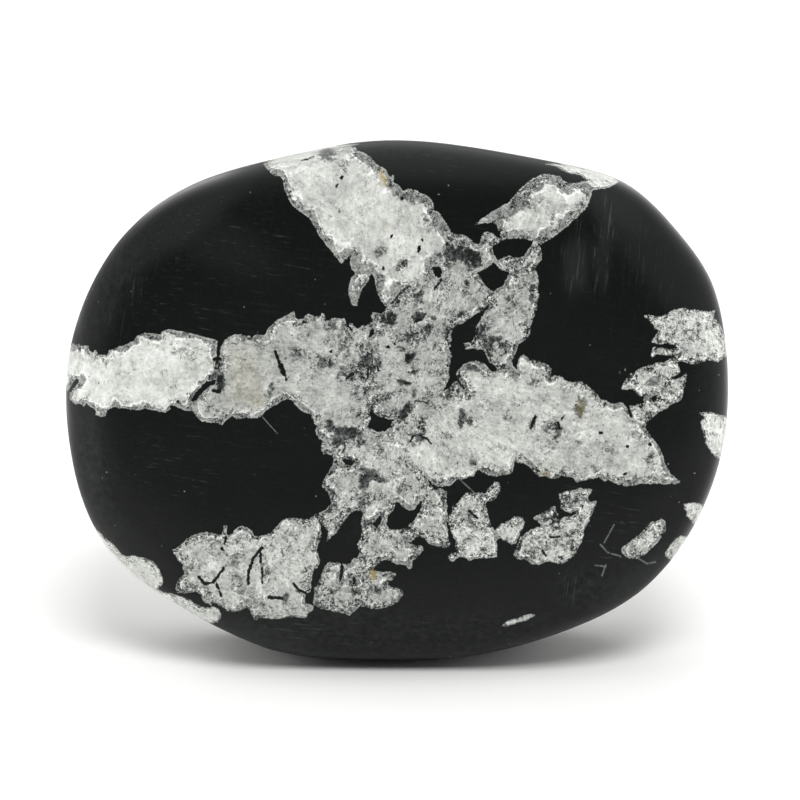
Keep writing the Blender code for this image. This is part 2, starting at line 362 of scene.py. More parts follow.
            (44.9, 15.1), (45.5, 15.4), (46.5, 15.2), (47.6, 15.1), (48.5, 15.2), (49.2, 15.6),
            (49.9, 16.1), (50.9, 16.4), (52.2, 16.7), (53.0, 16.2), (54.2, 16.3), (55.5, 16.2),
            (56.7, 15.8), (57.2, 16.1), (57.8, 16.2), (57.6, 15.3), (57.8, 14.7), (58.4, 14.0),
            (59.0, 13.0), (59.6, 12.1), (62.0, 12.0), (62.0, 8.2), (59.4, 7.6), (58.4, 6.9),
            (57.4, 7.0), (56.5, 7.1), (55.4, 6.8), (54.6, 6.5), (53.6, 6.4), (52.6, 6.7),
            (51.8, 6.9), (51.0, 7.0), (50.3, 7.8), (49.6, 8.0), (48.5, 8.1), (47.2, 8.2),
            (46.6, 7.7), (46.2, 7.9), (46.3, 8.6), (46.5, 9.3), (46.9, 9.6), (47.4, 9.2),
            (48.1, 9.5), (48.8, 9.2), (49.3, 9.0), (50.2, 9.2), (50.8, 9.4), (50.4, 9.9),
            (49.7, 10.1), (49.0, 10.3), (48.2, 10.0), (47.5, 10.1), (46.9, 10.4), (46.3, 10.2),
            (46.6, 11.0), (47.2, 11.8), (47.9, 12.3), (47.3, 12.6), (46.8, 12.9), (46.8, 13.4),
            (46.3, 14.0), (45.7, 14.4), (45.2, 14.8),
        ],
    },
    "rightBird": {
        "pale": 0.78, "grain": 0.60, "rind": 0.5, "depth": 0,
        "outline": [
            (40.8, 1.9), (41.0, 2.6), (41.5, 3.4), (42.0, 4.2), (42.5, 4.7), (43.4, 5.0),
            (44.2, 5.6), (44.9, 5.9), (45.7, 6.2), (46.4, 6.1), (47.1, 6.7), (48.7, 6.7),
            (49.4, 7.3), (50.2, 7.6), (51.1, 7.2), (51.0, 6.3), (51.6, 5.5), (51.4, 4.9),
            (50.6, 4.3), (49.9, 4.1), (50.0, 3.7), (50.9, 3.7), (51.6, 4.0), (52.2, 4.6),
            (52.7, 4.8), (52.7, 4.2), (52.4, 2.9), (52.1, 1.5), (51.9, 0.4), (51.4, -0.2),
            (50.4, -0.7), (49.3, -1.4), (48.4, -1.9), (47.4, -2.4), (46.6, -3.2), (45.8, -4.0),
            (45.0, -4.9), (43.2, -3.9), (42.5, -2.6), (42.2, -1.1), (43.4, -1.0), (44.2, -0.8),
            (44.9, -0.6), (44.9, 0.0), (45.2, 0.6), (44.4, 0.6), (43.6, 1.1), (43.0, 1.8),
            (42.3, 1.9), (41.5, 1.8),
        ],
    },
    "rightRimWedge": {
        "pale": 0.84, "grain": 0.35, "rind": 0.3, "depth": 25,
        "outline": [
            (55.0, -2.4), (55.7, -2.3), (57.0, -2.3), (58.0, -2.7), (59.3, -2.9), (62.0, -4.0),
            (61.0, -11.0), (58.7, -10.8), (58.3, -10.7), (57.7, -10.3), (57.2, -9.5), (56.6, -8.7),
            (56.1, -7.9), (55.8, -6.8), (55.5, -5.5), (55.2, -4.2), (55.5, -3.6), (56.1, -3.2),
            (55.5, -2.9),
        ],
    },
    "lowerRightRim": {
        "pale": 0.84, "grain": 0.15, "rind": 0.3, "depth": 24,
        "outline": [
            (52.0, -19.0), (53.2, -18.8), (54.6, -18.7), (55.6, -19.2), (58.0, -19.5),
            (55.0, -24.0), (53.5, -22.0), (52.7, -21.2), (52.6, -20.4), (52.2, -19.7),
        ],
    },
    "lowestRightRim": {
        "pale": 0.82, "grain": 0.15, "rind": 0.2, "depth": 23,
        "outline": [
            (51.5, -24.7), (54.0, -25.0), (51.0, -30.0), (48.9, -28.5), (48.7, -27.9),
            (49.2, -27.1), (49.8, -26.3), (50.6, -25.4),
        ],
    },
    "rightLozenge": {
        "pale": 0.74, "grain": 0.50, "rind": 0.4, "depth": 0,
        "outline": [
            (48.0, -21.6), (48.8, -22.0), (48.9, -23.0), (48.9, -23.8), (48.3, -24.3),
            (47.9, -25.2), (47.2, -26.1), (46.2, -27.0), (45.6, -27.8), (44.7, -28.3),
            (43.7, -28.9), (42.5, -28.9), (41.6, -28.5), (41.0, -27.9), (40.8, -27.1),
            (41.1, -26.7), (42.3, -26.0), (43.0, -25.3), (43.7, -24.8), (44.3, -24.2),
            (45.0, -23.6), (45.6, -22.8), (46.2, -22.2), (47.3, -22.0),
        ],
    },
    "lowerMiddleBlock": {
        "pale": 0.80, "grain": 0.50, "rind": 0.4, "depth": 0,
        "outline": [
            (18.3, -14.8), (18.9, -15.7), (18.7, -17.0), (18.0, -18.0), (17.0, -18.5),
            (16.3, -18.5), (16.2, -19.5), (16.6, -20.6), (16.9, -21.8), (17.1, -22.8),
            (17.6, -23.6), (18.1, -24.2), (18.2, -26.0), (18.3, -27.2), (18.2, -28.6),
            (17.0, -28.7), (15.5, -28.8), (14.2, -28.9), (13.2, -29.3), (12.8, -28.9),
            (12.1, -28.7), (11.2, -28.6), (10.6, -29.2), (9.9, -29.4), (9.5, -28.9),
            (9.2, -28.5), (9.9, -28.0), (10.9, -27.7), (10.8, -27.0), (10.6, -26.2),
            (10.9, -25.7), (10.3, -25.0), (10.0, -24.0), (9.7, -23.0), (9.3, -22.2),
            (9.6, -21.3), (10.0, -20.4), (10.2, -19.4), (11.0, -18.9), (11.6, -18.2),
            (12.2, -17.3), (12.9, -16.9), (13.9, -17.0), (15.0, -16.9), (16.1, -17.0),
            (16.5, -16.3), (17.2, -15.5), (17.8, -15.0),
        ],
    },
    "smallDiamond": {
        "pale": 0.78, "grain": 0.35, "rind": 0.4, "depth": 0,
        "outline": [
            (18.2, -23.2), (19.1, -22.6), (20.0, -22.2), (20.9, -21.5), (21.9, -21.1),
            (22.9, -21.5), (23.3, -22.3), (23.0, -23.2), (22.4, -24.2), (22.0, -25.1),
            (21.8, -26.0), (21.0, -26.4), (20.2, -25.9), (19.4, -25.5), (18.8, -25.2),
            (18.0, -25.4), (17.9, -24.2),
        ],
    },
    "smallKite": {
        "pale": 0.74, "grain": 0.60, "rind": 0.5, "depth": 0,
        "outline": [
            (24.8, -21.5), (25.5, -21.1), (26.3, -20.7), (27.2, -20.2), (28.0, -19.4),
            (28.9, -19.3), (29.0, -20.2), (29.4, -21.0), (28.9, -21.7), (28.2, -22.3),
            (27.4, -22.9), (26.4, -23.0), (26.0, -22.4), (25.5, -21.8), (25.0, -21.9),
        ],
    },
    "lowerRightBlock": {
        "pale": 0.77, "grain": 0.58, "rind": 0.5, "depth": 0,
        "outline": [
            (29.4, -17.2), (30.2, -16.9), (31.2, -16.6), (32.3, -16.4), (33.2, -16.1),
            (34.4, -16.2), (35.6, -16.1), (35.2, -17.0), (34.7, -17.9), (35.2, -18.5),
            (36.4, -18.4), (36.2, -18.9), (36.0, -19.6), (35.5, -20.6), (35.3, -21.5),
            (34.7, -22.5), (34.1, -23.6), (33.9, -24.8), (33.7, -25.6), (33.1, -26.6),
            (32.7, -27.6), (31.9, -28.5), (30.9, -29.4), (30.1, -29.9), (29.0, -29.7),
            (28.0, -29.5), (27.2, -29.3), (26.6, -29.7), (25.7, -30.0), (24.5, -29.8),
            (23.4, -29.1), (22.0, -28.9), (21.2, -28.3), (21.4, -27.6), (21.9, -27.0),
            (22.0, -26.2), (22.4, -25.3), (23.2, -24.5), (24.2, -23.7), (25.3, -23.2),
            (26.6, -23.0), (28.0, -22.9), (28.8, -22.2), (29.8, -21.7), (30.6, -21.3),
            (31.6, -21.2), (32.5, -20.9), (32.6, -20.1), (31.5, -20.6), (30.4, -20.3),
            (29.8, -19.7), (29.9, -18.9), (29.6, -18.0),
        ],
    },
    "lowSplinter": {
        "pale": 0.80, "grain": 0.30, "rind": 0.2, "depth": 0,
        "outline": [
            (19.0, -41.1), (19.9, -40.3), (21.1, -39.9), (22.4, -39.5), (23.9, -39.0),
            (25.0, -38.9), (25.1, -39.2), (24.2, -39.8), (22.9, -40.2), (21.7, -40.6),
            (20.6, -41.0), (19.6, -41.2),
        ],
    },
    "lowerLeftRim": {
        "pale": 0.86, "grain": 0.15, "rind": 0.3, "depth": 25,
        "outline": [
            (-54.7, -23.2), (-54.0, -24.0), (-53.3, -24.8), (-52.4, -25.6), (-51.3, -26.3),
            (-50.6, -27.2), (-49.9, -28.0), (-49.0, -28.6), (-47.8, -28.3), (-46.6, -28.6),
            (-45.4, -28.9), (-44.2, -29.4), (-43.6, -30.1), (-42.9, -31.2), (-42.4, -32.4),
            (-42.4, -33.5), (-42.9, -34.0), (-43.4, -34.4), (-42.9, -34.8), (-41.8, -35.1),
            (-40.5, -35.3), (-39.0, -35.8), (-37.6, -36.3), (-36.9, -36.9), (-35.9, -37.4),
            (-34.8, -37.8), (-34.0, -37.9), (-33.3, -37.5), (-32.5, -37.9), (-31.9, -38.8),
            (-31.9, -39.7), (-32.5, -40.4), (-33.8, -40.6), (-37.0, -42.0), (-46.0, -38.0),
            (-54.0, -31.0), (-58.0, -24.0),
        ],
    },
}

# Black limestone that shows through the flower
gaps = {
    "eye": [(6.4, 24.1), (7.3, 24.2), (8.0, 24.0), (8.3, 23.2), (8.1, 22.3), (7.5, 22.0), (6.9, 22.5),
            (6.6, 23.3)],
    "star": [(14.5, 22.9), (15.3, 23.4), (16.1, 23.7), (17.0, 24.3), (17.7, 25.0), (18.3, 24.2),
             (18.9, 23.6), (19.9, 23.2), (20.8, 23.2), (20.2, 22.3), (19.8, 21.6), (19.3, 20.6),
             (18.5, 20.3), (17.9, 19.6), (17.1, 19.8), (16.2, 20.6), (15.6, 21.4), (15.2, 22.2)],
    "window": [(17.3, 27.4), (17.6, 28.0), (18.6, 28.4), (19.0, 28.9), (20.5, 29.2), (22.0, 29.3),
               (23.5, 29.1), (24.8, 28.8), (24.4, 27.8), (23.7, 26.9), (23.2, 26.0), (22.0, 25.7),
               (20.9, 25.9), (20.4, 26.1), (19.3, 25.7), (18.3, 25.3), (17.8, 26.2)],
    "longGap": [(16.7, 17.2), (15.5, 16.2), (14.5, 15.6), (13.7, 15.0), (12.6, 14.3), (11.8, 13.7),
                (10.7, 13.5), (10.1, 12.9), (10.0, 12.3), (9.8, 11.5), (10.1, 11.1), (9.7, 10.4),
                (9.9, 9.8), (9.4, 9.2), (9.9, 8.6), (10.0, 7.9), (9.8, 7.0), (9.6, 6.0), (9.5, 4.9),
                (9.6, 4.0), (9.3, 3.2), (8.8, 2.4), (8.6, 1.6), (9.2, 1.8), (9.8, 2.3), (10.3, 3.0),
                (10.8, 3.4), (11.2, 3.1), (11.6, 2.4), (12.3, 1.7), (12.7, 1.6), (12.2, 2.4),
                (11.6, 3.2), (11.1, 3.9), (10.9, 4.6), (11.1, 5.3), (11.7, 5.9), (12.3, 6.4),
                (13.2, 6.8), (14.0, 7.0), (15.0, 6.9), (15.9, 6.6), (16.5, 6.0), (17.0, 5.2),
                (17.7, 5.0), (18.6, 5.2), (17.9, 6.0), (17.0, 6.6), (16.5, 7.4), (16.2, 8.4),
                (15.7, 9.2), (14.9, 9.1), (13.9, 9.3), (12.6, 9.1), (12.1, 9.5), (12.2, 10.2),
                (12.8, 10.5), (13.5, 10.2), (13.9, 10.8), (14.2, 11.7), (14.5, 12.4), (15.0, 12.6),
                (14.6, 13.2), (15.0, 14.0), (15.5, 14.9), (15.9, 15.7), (16.5, 16.3)],
    "trough": [(-4.0, -0.5), (-4.3, -1.5), (-4.2, -2.3), (-3.6, -2.8), (-2.7, -3.2), (-1.6, -3.5),
               (-0.2, -3.6), (-0.8, -4.3), (-1.2, -5.1), (-1.9, -5.7), (-2.8, -5.9), (-3.8, -5.8),
               (-4.5, -5.2), (-5.4, -5.1), (-5.1, -4.4), (-4.7, -3.6), (-4.9, -2.6), (-4.8, -1.3)],
    "leftNick": [(-9.9, -10.8), (-8.4, -10.8), (-7.4, -11.2), (-8.0, -11.9), (-8.7, -11.9),
                 (-9.4, -11.8)],
    "seed": [(-4.4, 13.0), (-4.0, 12.9), (-4.0, 12.0), (-4.9, 11.2), (-5.1, 11.3), (-4.8, 12.4)],
    "sliver": [(-1.7, 17.1), (-0.6, 17.9), (0.2, 18.5), (1.0, 19.5), (1.6, 20.3), (1.0, 20.1),
               (0.3, 19.3), (-0.4, 18.2)],
    "notch": [(20.2, 6.3), (20.9, 7.2), (21.6, 7.3), (22.1, 6.9), (21.9, 5.7), (21.3, 6.2)],
    "birdNotch": [(46.1, 0.5), (47.6, 0.8), (46.7, -0.6), (46.2, -0.2)],
    "lowerHollow": [(-0.2, -18.5), (0.4, -18.6), (0.9, -19.2), (1.6, -19.8), (2.7, -20.3), (3.5, -19.6),
                    (4.1, -18.8), (4.3, -18.1), (4.6, -18.5), (4.6, -19.6), (4.1, -20.5), (3.4, -21.3),
                    (3.1, -22.2), (2.4, -22.6), (2.0, -23.3), (0.9, -23.5), (-0.1, -23.7),
                    (-1.3, -23.6), (-1.8, -22.8), (-1.7, -21.6), (-1.4, -20.8), (-0.7, -20.3),
                    (-0.3, -19.3)],
    "lowerSlit": [(-3.1, -21.0), (-2.6, -21.0), (-2.7, -21.9), (-3.1, -22.8), (-3.6, -23.3),
                  (-4.4, -22.6), (-3.8, -21.9)],
    "lens": [(-4.5, -30.9), (-3.7, -30.2), (-2.8, -29.4), (-1.9, -29.1), (-1.0, -29.3), (0.1, -30.0),
             (-0.6, -30.8), (0.3, -31.2), (-0.3, -31.6), (-1.3, -31.2), (-2.5, -31.3), (-3.6, -31.2)],
    "blade": [(-10.0, -29.6), (-9.5, -30.5), (-9.7, -31.5), (-10.0, -32.8), (-10.6, -33.9),
              (-10.5, -33.0), (-10.3, -31.5), (-10.2, -30.4)],
    "rimWedge": [(-59.8, 1.4), (-58.3, 3.7), (-57.5, 3.7), (-57.8, 2.9), (-59.1, 1.3)],
    "bladeFoot": [(-8.0, -32.3), (-7.4, -32.4), (-7.5, -33.6), (-7.9, -33.4)],
}

# Thin black cracks: the points of each line, and its width
cracks = [
    ([(-32.3, 10.3), (-32.4, 8.9), (-32.5, 8.2)], 0.35),
    ([(-33.0, 7.3), (-32.2, 7.4)], 0.7),
    ([(-36.8, 0.0), (-35.9, 1.2), (-34.9, 2.4), (-33.1, 3.2)], 0.7),
    ([(-33.2, 1.6), (-32.2, 1.4)], 0.5),
    ([(-22.0, 8.7), (-21.3, 6.8), (-20.1, 3.6)], 0.4),
    ([(-21.0, 6.2), (-20.5, 4.8)], 0.8),
    ([(8.2, 21.9), (7.6, 21.0), (7.0, 20.2)], 0.25),
    ([(-17.2, 43.3), (-16.2, 43.6), (-15.1, 44.1)], 0.1),
    ([(-35.9, -32.2), (-34.7, -33.5), (-33.3, -33.2), (-32.5, -32.2), (-31.4, -30.6)], 0.4),
    ([(-32.7, -33.5), (-32.3, -34.3)], 0.35),
    ([(-32.1, -34.9), (-31.9, -35.6)], 0.3),
    ([(-24.4, -26.9), (-25.2, -27.9), (-26.0, -28.8), (-26.5, -30.2), (-26.9, -31.3), (-26.9, -33.5)], 0.4),
    ([(-24.7, -28.0), (-24.6, -29.6)], 0.35),
    ([(-24.4, -30.4), (-24.4, -33.4)], 0.2),
    ([(-23.2, -35.9), (-20.8, -36.1)], 0.45),
    ([(-18.7, -33.4), (-17.7, -34.6), (-16.3, -35.2)], 0.35),
    ([(-30.9, -25.0), (-31.2, -26.2)], 0.3),
    ([(-31.7, -26.9), (-31.5, -27.2)], 0.4),
    ([(41.9, -0.8), (42.2, -2.0), (42.6, -3.0)], 0.3),
    ([(13.2, -20.2), (14.0, -20.9), (14.7, -21.6)], 0.3),
    ([(26.5, -27.4), (27.1, -28.3)], 0.3),
    ([(28.0, -25.0), (29.6, -24.9)], 0.25),
    ([(2.5, -7.7), (3.0, -6.6), (4.4, -6.5), (5.4, -7.1), (6.3, -8.0)], 0.18),
    ([(3.4, -0.2), (4.4, -0.3), (5.6, -0.6)], 0.06),
    ([(1.6, 3.0), (2.6, 2.9)], 0.15),
    ([(-9.2, 3.8), (-8.3, 4.4), (-7.2, 5.0)], 0.25),
    ([(-5.1, 5.6), (-5.2, 4.2), (-5.6, 3.2)], 0.08),
    ([(-6.0, 2.0), (-5.7, 0.9)], 0.1),
    ([(-3.6, 6.0), (-3.2, 5.2)], 0.2),
    ([(24.4, -5.2), (24.8, -4.0), (25.2, -3.2)], 0.35),
    ([(29.3, -4.2), (29.6, -5.3)], 0.3),
    ([(30.0, -3.6), (30.5, -2.9)], 0.25),
    ([(5.6, -14.5), (6.4, -15.6), (7.4, -16.3)], 0.3),
    ([(9.5, -24.0), (9.7, -25.8)], 0.3),
    ([(-16.9, 14.0), (-16.4, 13.9)], 0.3),
    ([(-8.7, 13.4), (-8.0, 12.4)], 0.25),
]

# Tones inside the crystals and marks on the black, in the same millimetres. Each patch is an ellipse:
# how far right and up its middle is, its half width and half height, its tilt in degrees, and how
# strong it is. A dark speck is the same without a strength, and a crumb is a middle and a radius
greyPatches = [                        # smoky places
    (-12.6, 44.6, 1.8, 1.5, 0, 0.75), (-9.8, 42.2, 1.0, 1.6, -20, 0.40), (-11.2, 33.6, 1.2, 0.6, 40, 0.35),
    (3.9, 36.6, 2.4, 1.2, -20, 0.55), (8.1, 31.2, 0.9, 1.8, 25, 0.85), (9.3, 29.0, 1.2, 1.0, 0, 0.55),
    (-2.9, 26.8, 1.4, 1.0, 35, 0.70), (1.0, 24.4, 1.6, 0.8, 35, 0.75), (-2.4, 31.7, 1.2, 0.8, 0, 0.25),
    (6.3, 30.6, 1.6, 1.2, 30, 0.35), (4.0, 32.6, 1.6, 1.1, 20, 0.20), (-16.5, 38.0, 0.9, 2.4, 25, 0.25),
    (-7.2, 21.2, 0.9, 3.6, 8, 0.50), (-4.0, 20.4, 0.5, 2.2, -15, 0.45), (-7.4, 25.2, 0.8, 0.9, 0, 0.60),
    (-5.4, 24.4, 1.0, 0.8, -30, 0.40), (5.9, 21.6, 1.2, 0.8, 50, 0.55), (4.1, 18.6, 0.8, 1.7, -30, 0.80),
    (12.3, 26.6, 3.0, 1.5, -15, 0.95), (14.0, 25.0, 2.0, 1.4, 20, 0.80), (9.9, 26.2, 1.8, 1.5, 0, 0.75),
    (12.0, 29.2, 2.2, 0.8, 0, 0.35), (16.2, 28.8, 1.4, 1.2, 0, 0.25), (7.4, 26.2, 1.0, 1.0, 0, 0.50),
    (-38.4, 9.0, 3.0, 1.8, 0, 0.42), (-37.4, 6.4, 0.8, 2.2, -20, 0.22), (-43.0, 3.6, 2.6, 1.6, 30, 0.22),
    (-52.0, 6.3, 2.2, 1.2, 0, 0.28), (-40.0, 2.2, 1.8, 1.2, 0, 0.22), (-38.4, -0.4, 1.8, 0.9, 0, 0.30),
    (-28.2, 6.0, 2.6, 3.0, -20, 0.16), (-22.9, 1.8, 0.7, 1.6, -20, 0.75), (-32.0, 3.0, 0.8, 2.0, 0, 0.85),
    (-29.6, 10.4, 1.0, 0.6, 0, 0.45), (-33.4, -1.6, 1.6, 1.3, 0, 0.35), (-31.2, -3.4, 1.2, 0.7, 0, 0.50),
    (-20.5, 7.4, 0.7, 1.4, 0, 0.30), (-24.4, 9.8, 1.6, 0.9, 0, 0.25), (-17.9, 8.4, 1.6, 1.2, 10, 0.50),
    (-16.6, 11.2, 2.0, 1.2, 0, 0.30), (-13.0, 7.0, 2.8, 1.4, -10, 0.60), (-16.0, 3.6, 2.2, 1.4, 20, 0.30),
    (-11.2, 13.2, 1.9, 0.8, 0, 0.55), (-9.0, 4.6, 2.2, 1.6, 20, 0.65), (-5.6, 9.0, 1.6, 2.2, 0, 0.55),
    (-6.2, 1.6, 1.8, 1.6, 0, 0.50), (-3.8, 6.4, 1.2, 2.0, 0, 0.55), (-3.0, 14.7, 1.5, 1.0, 0, 0.70),
    (-0.8, 14.7, 0.9, 1.5, 0, 0.95), (4.2, 15.0, 1.5, 0.9, 20, 0.95), (6.7, 14.8, 0.7, 0.6, 0, 0.75),
    (3.6, 11.2, 2.2, 1.5, 0, 0.55), (5.8, 12.9, 0.6, 1.1, 0, 0.80), (-3.1, 12.2, 1.1, 0.9, 0, 0.75),
    (2.1, 7.5, 0.8, 1.1, 0, 0.90), (3.2, 5.0, 1.0, 0.4, 0, 0.60), (0.9, 9.1, 0.8, 0.6, -20, 0.75),
    (2.9, 7.9, 0.5, 0.9, -40, 0.80), (0.2, 8.5, 0.6, 0.4, 0, 0.45), (1.2, 3.2, 1.5, 0.6, -20, 0.80),
    (3.2, 1.3, 0.6, 0.8, 0, 0.60), (-0.8, 0.8, 1.4, 0.8, 20, 0.40), (-9.4, -5.9, 3.4, 1.1, 0, 0.90),
    (-12.2, -4.6, 0.8, 1.5, 0, 0.75), (-10.8, -7.9, 1.6, 1.3, 0, 0.80), (-3.4, -9.0, 1.2, 1.2, 0, 0.60),
    (-6.6, -7.9, 1.6, 1.0, 0, 0.45), (-7.6, -2.4, 1.6, 1.0, 0, 0.50), (3.8, -7.0, 2.0, 0.9, -15, 0.70),
    (1.2, -11.0, 1.6, 1.0, 0, 0.40), (-4.4, -13.8, 2.6, 0.7, -30, 0.65), (11.8, -3.4, 0.8, 2.1, -8, 0.95),
    (13.4, -4.0, 0.7, 0.9, -20, 0.90), (9.4, -6.4, 1.4, 1.0, 0, 0.45), (16.6, -1.0, 1.2, 1.8, 0, 0.25),
    (20.3, -3.0, 1.0, 1.3, 0, 0.60), (22.2, -0.9, 1.3, 0.5, 0, 0.60), (24.9, 3.2, 1.5, 1.4, 0, 0.45),
    (24.9, -4.0, 0.9, 1.8, -15, 0.60), (28.4, -5.6, 2.4, 1.8, -15, 0.60), (33.2, -1.2, 1.3, 2.4, 0, 0.62),
    (33.4, -1.6, 0.8, 1.8, 0, 0.40), (37.4, -2.6, 1.4, 1.0, 0, 0.30), (39.3, -9.0, 2.2, 1.6, 0, 0.30),
    (28.0, -9.4, 2.2, 1.5, 0, 0.35), (34.0, -7.0, 1.8, 1.4, 0, 0.30), (46.6, -11.4, 2.0, 2.2, 30, 0.50),
    (44.8, -14.4, 5.0, 0.7, 0, 0.50), (27.0, -13.2, 1.4, 0.7, 0, 0.45), (19.0, -8.8, 2.0, 1.2, 0, 0.30),
    (14.6, -11.6, 1.6, 0.8, 0, 0.35), (34.4, -12.6, 3.2, 0.8, 0, 0.35), (42.4, -6.4, 1.2, 1.0, 0, 0.35),
    (-5.8, -14.8, 1.1, 2.0, -10, 0.90), (-6.0, -18.4, 0.9, 1.2, 0, 0.65), (9.6, 0.9, 1.8, 1.3, 0, 0.72),
    (12.8, 0.6, 1.4, 1.0, 0, 0.60), (17.6, 10.6, 2.4, 1.2, -10, 0.75), (16.8, 8.6, 0.8, 1.8, 0, 0.60),
    (15.2, 12.8, 0.9, 1.3, -30, 0.75), (19.6, 9.4, 1.0, 1.4, 0, 0.45), (21.4, 4.8, 1.7, 1.0, 0, 0.70),
    (1.5, -2.3, 0.8, 2.6, -25, 0.85), (4.8, -5.0, 0.7, 2.3, 15, 0.70), (2.6, -8.0, 1.4, 0.7, 0, 0.45),
    (-1.8, 0.5, 2.2, 0.8, 20, 0.55), (-5.4, 5.2, 1.3, 3.2, 0, 0.40), (-9.4, 9.4, 2.0, 2.2, 0, 0.50),
    (13.6, 6.0, 3.0, 0.8, -5, 0.62), (11.4, 4.4, 0.7, 1.4, 20, 0.60), (-6.7, 44.2, 1.9, 0.8, -38, 0.75),
    (-3.9, 42.2, 1.6, 0.8, -40, 0.80), (-0.5, 38.4, 1.0, 2.2, 32, 0.85), (2.4, 37.0, 1.2, 1.4, 0, 0.70),
    (5.4, 36.2, 0.9, 1.6, 28, 0.80), (5.9, 33.0, 1.6, 1.2, -30, 0.60), (7.4, 33.4, 1.0, 1.2, 20, 0.55),
    (-9.4, 45.8, 1.6, 1.0, 0, 0.42), (-19.6, 38.4, 0.6, 2.4, 18, 0.60), (20.6, 34.0, 0.9, 2.0, -45, 0.90),
    (22.6, 35.8, 1.1, 1.6, -40, 0.85), (25.8, 38.8, 0.9, 1.3, -30, 0.80),
    (24.2, 37.6, 0.9, 1.2, -40, 0.60), (30.0, 39.2, 1.6, 0.8, -15, 0.60),
    (28.3, 32.9, 0.5, 1.4, -10, 0.45), (29.4, 31.2, 2.0, 0.6, 35, 0.60), (33.6, 36.0, 0.6, 2.0, -25, 0.50),
    (24.6, 20.0, 0.6, 2.6, -5, 0.75), (19.2, 20.0, 1.6, 0.9, 0, 0.55), (20.2, 18.4, 0.8, 0.4, 10, 0.70),
    (12.9, 20.9, 0.7, 0.8, 0, 0.55), (17.2, 18.6, 1.0, 1.2, 30, 0.65), (11.6, 15.4, 1.2, 0.5, 25, 0.80),
    (9.3, 11.2, 0.7, 2.2, 0, 0.60), (9.4, 7.0, 0.5, 3.0, 0, 0.45), (8.5, 3.2, 0.6, 1.2, 0, 0.50),
    (16.2, 16.6, 0.5, 0.8, -30, 0.80), (-13.4, -16.0, 0.7, 1.6, 0, 0.80),
    (-12.8, -19.6, 0.9, 1.2, 30, 0.60), (-11.4, -12.4, 0.6, 1.6, 0, 0.60),
    (-11.8, -17.2, 0.6, 1.2, 0, 0.85), (-4.2, -13.6, 1.2, 0.8, -35, 0.85),
    (-2.9, -14.6, 1.4, 0.5, -10, 0.75), (-4.6, -17.8, 0.8, 1.0, 0, 0.55),
    (-13.6, -22.6, 0.5, 1.2, 0, 0.50), (13.6, -11.8, 0.9, 0.8, 0, 0.60), (-11.6, -17.0, 1.0, 0.7, 0, 0.60),
    (-9.4, -19.0, 1.6, 0.8, 0, 0.35), (1.0, -16.0, 1.6, 1.0, 0, 0.45), (6.6, -19.4, 1.4, 1.6, 0, 0.45),
    (-4.6, -25.6, 1.4, 1.2, 0, 0.45), (-3.6, -34.6, 2.0, 1.0, 0, 0.45), (-11.6, -34.6, 1.8, 1.4, 0, 0.40),
    (-7.2, -35.4, 1.0, 1.4, 0, 0.45), (-37.0, -30.0, 1.6, 1.2, 0, 0.50), (-33.0, -28.4, 1.6, 1.2, 0, 0.35),
    (-29.4, -28.8, 1.4, 2.2, 0, 0.40), (-28.8, -34.6, 1.6, 1.6, 0, 0.45),
    (-23.4, -30.6, 1.2, 2.4, 0, 0.45), (-20.3, -36.0, 0.7, 1.2, -20, 0.75),
    (-19.6, -26.4, 1.8, 1.6, 0, 0.35), (-17.0, -31.0, 1.4, 1.6, 0, 0.40),
    (-24.6, -37.4, 1.6, 0.9, 0, 0.40), (-36.4, -33.6, 1.4, 0.9, 0, 0.50),
    (-34.4, -35.4, 1.2, 0.7, 0, 0.50), (-15.0, -24.6, 0.9, 1.8, 0, 0.45), (24.6, 35.6, 2.6, 1.0, 30, 0.35),
    (21.0, 33.2, 1.2, 1.6, 0, 0.25), (29.6, 33.2, 2.0, 0.8, 35, 0.30), (21.6, 18.6, 1.2, 2.4, 0, 0.35),
    (22.9, 14.6, 1.0, 1.6, 0, 0.35), (23.6, 24.8, 1.2, 1.2, 0, 0.35), (52.8, 11.6, 2.2, 1.6, 0, 0.45),
    (48.4, 13.4, 1.2, 1.0, 0, 0.40), (55.4, 14.4, 1.4, 0.8, 0, 0.40), (46.8, 3.4, 2.2, 1.2, 20, 0.55),
    (43.4, 3.2, 1.0, 0.8, 0, 0.55), (50.0, 1.8, 1.4, 1.4, 0, 0.45), (44.6, -25.6, 1.6, 1.0, 40, 0.45),
    (46.6, -23.8, 0.8, 0.8, 0, 0.40), (13.4, -22.4, 1.6, 2.6, 0, 0.50), (15.4, -26.6, 1.6, 1.2, 0, 0.50),
    (26.8, -26.4, 2.4, 1.6, 0, 0.50), (31.4, -25.4, 1.4, 2.2, 0, 0.50), (32.2, -18.4, 1.6, 1.2, 0, 0.55),
    (27.2, -21.4, 1.2, 1.0, 0, 0.60), (24.0, -27.6, 1.2, 0.9, 0, 0.45),
]
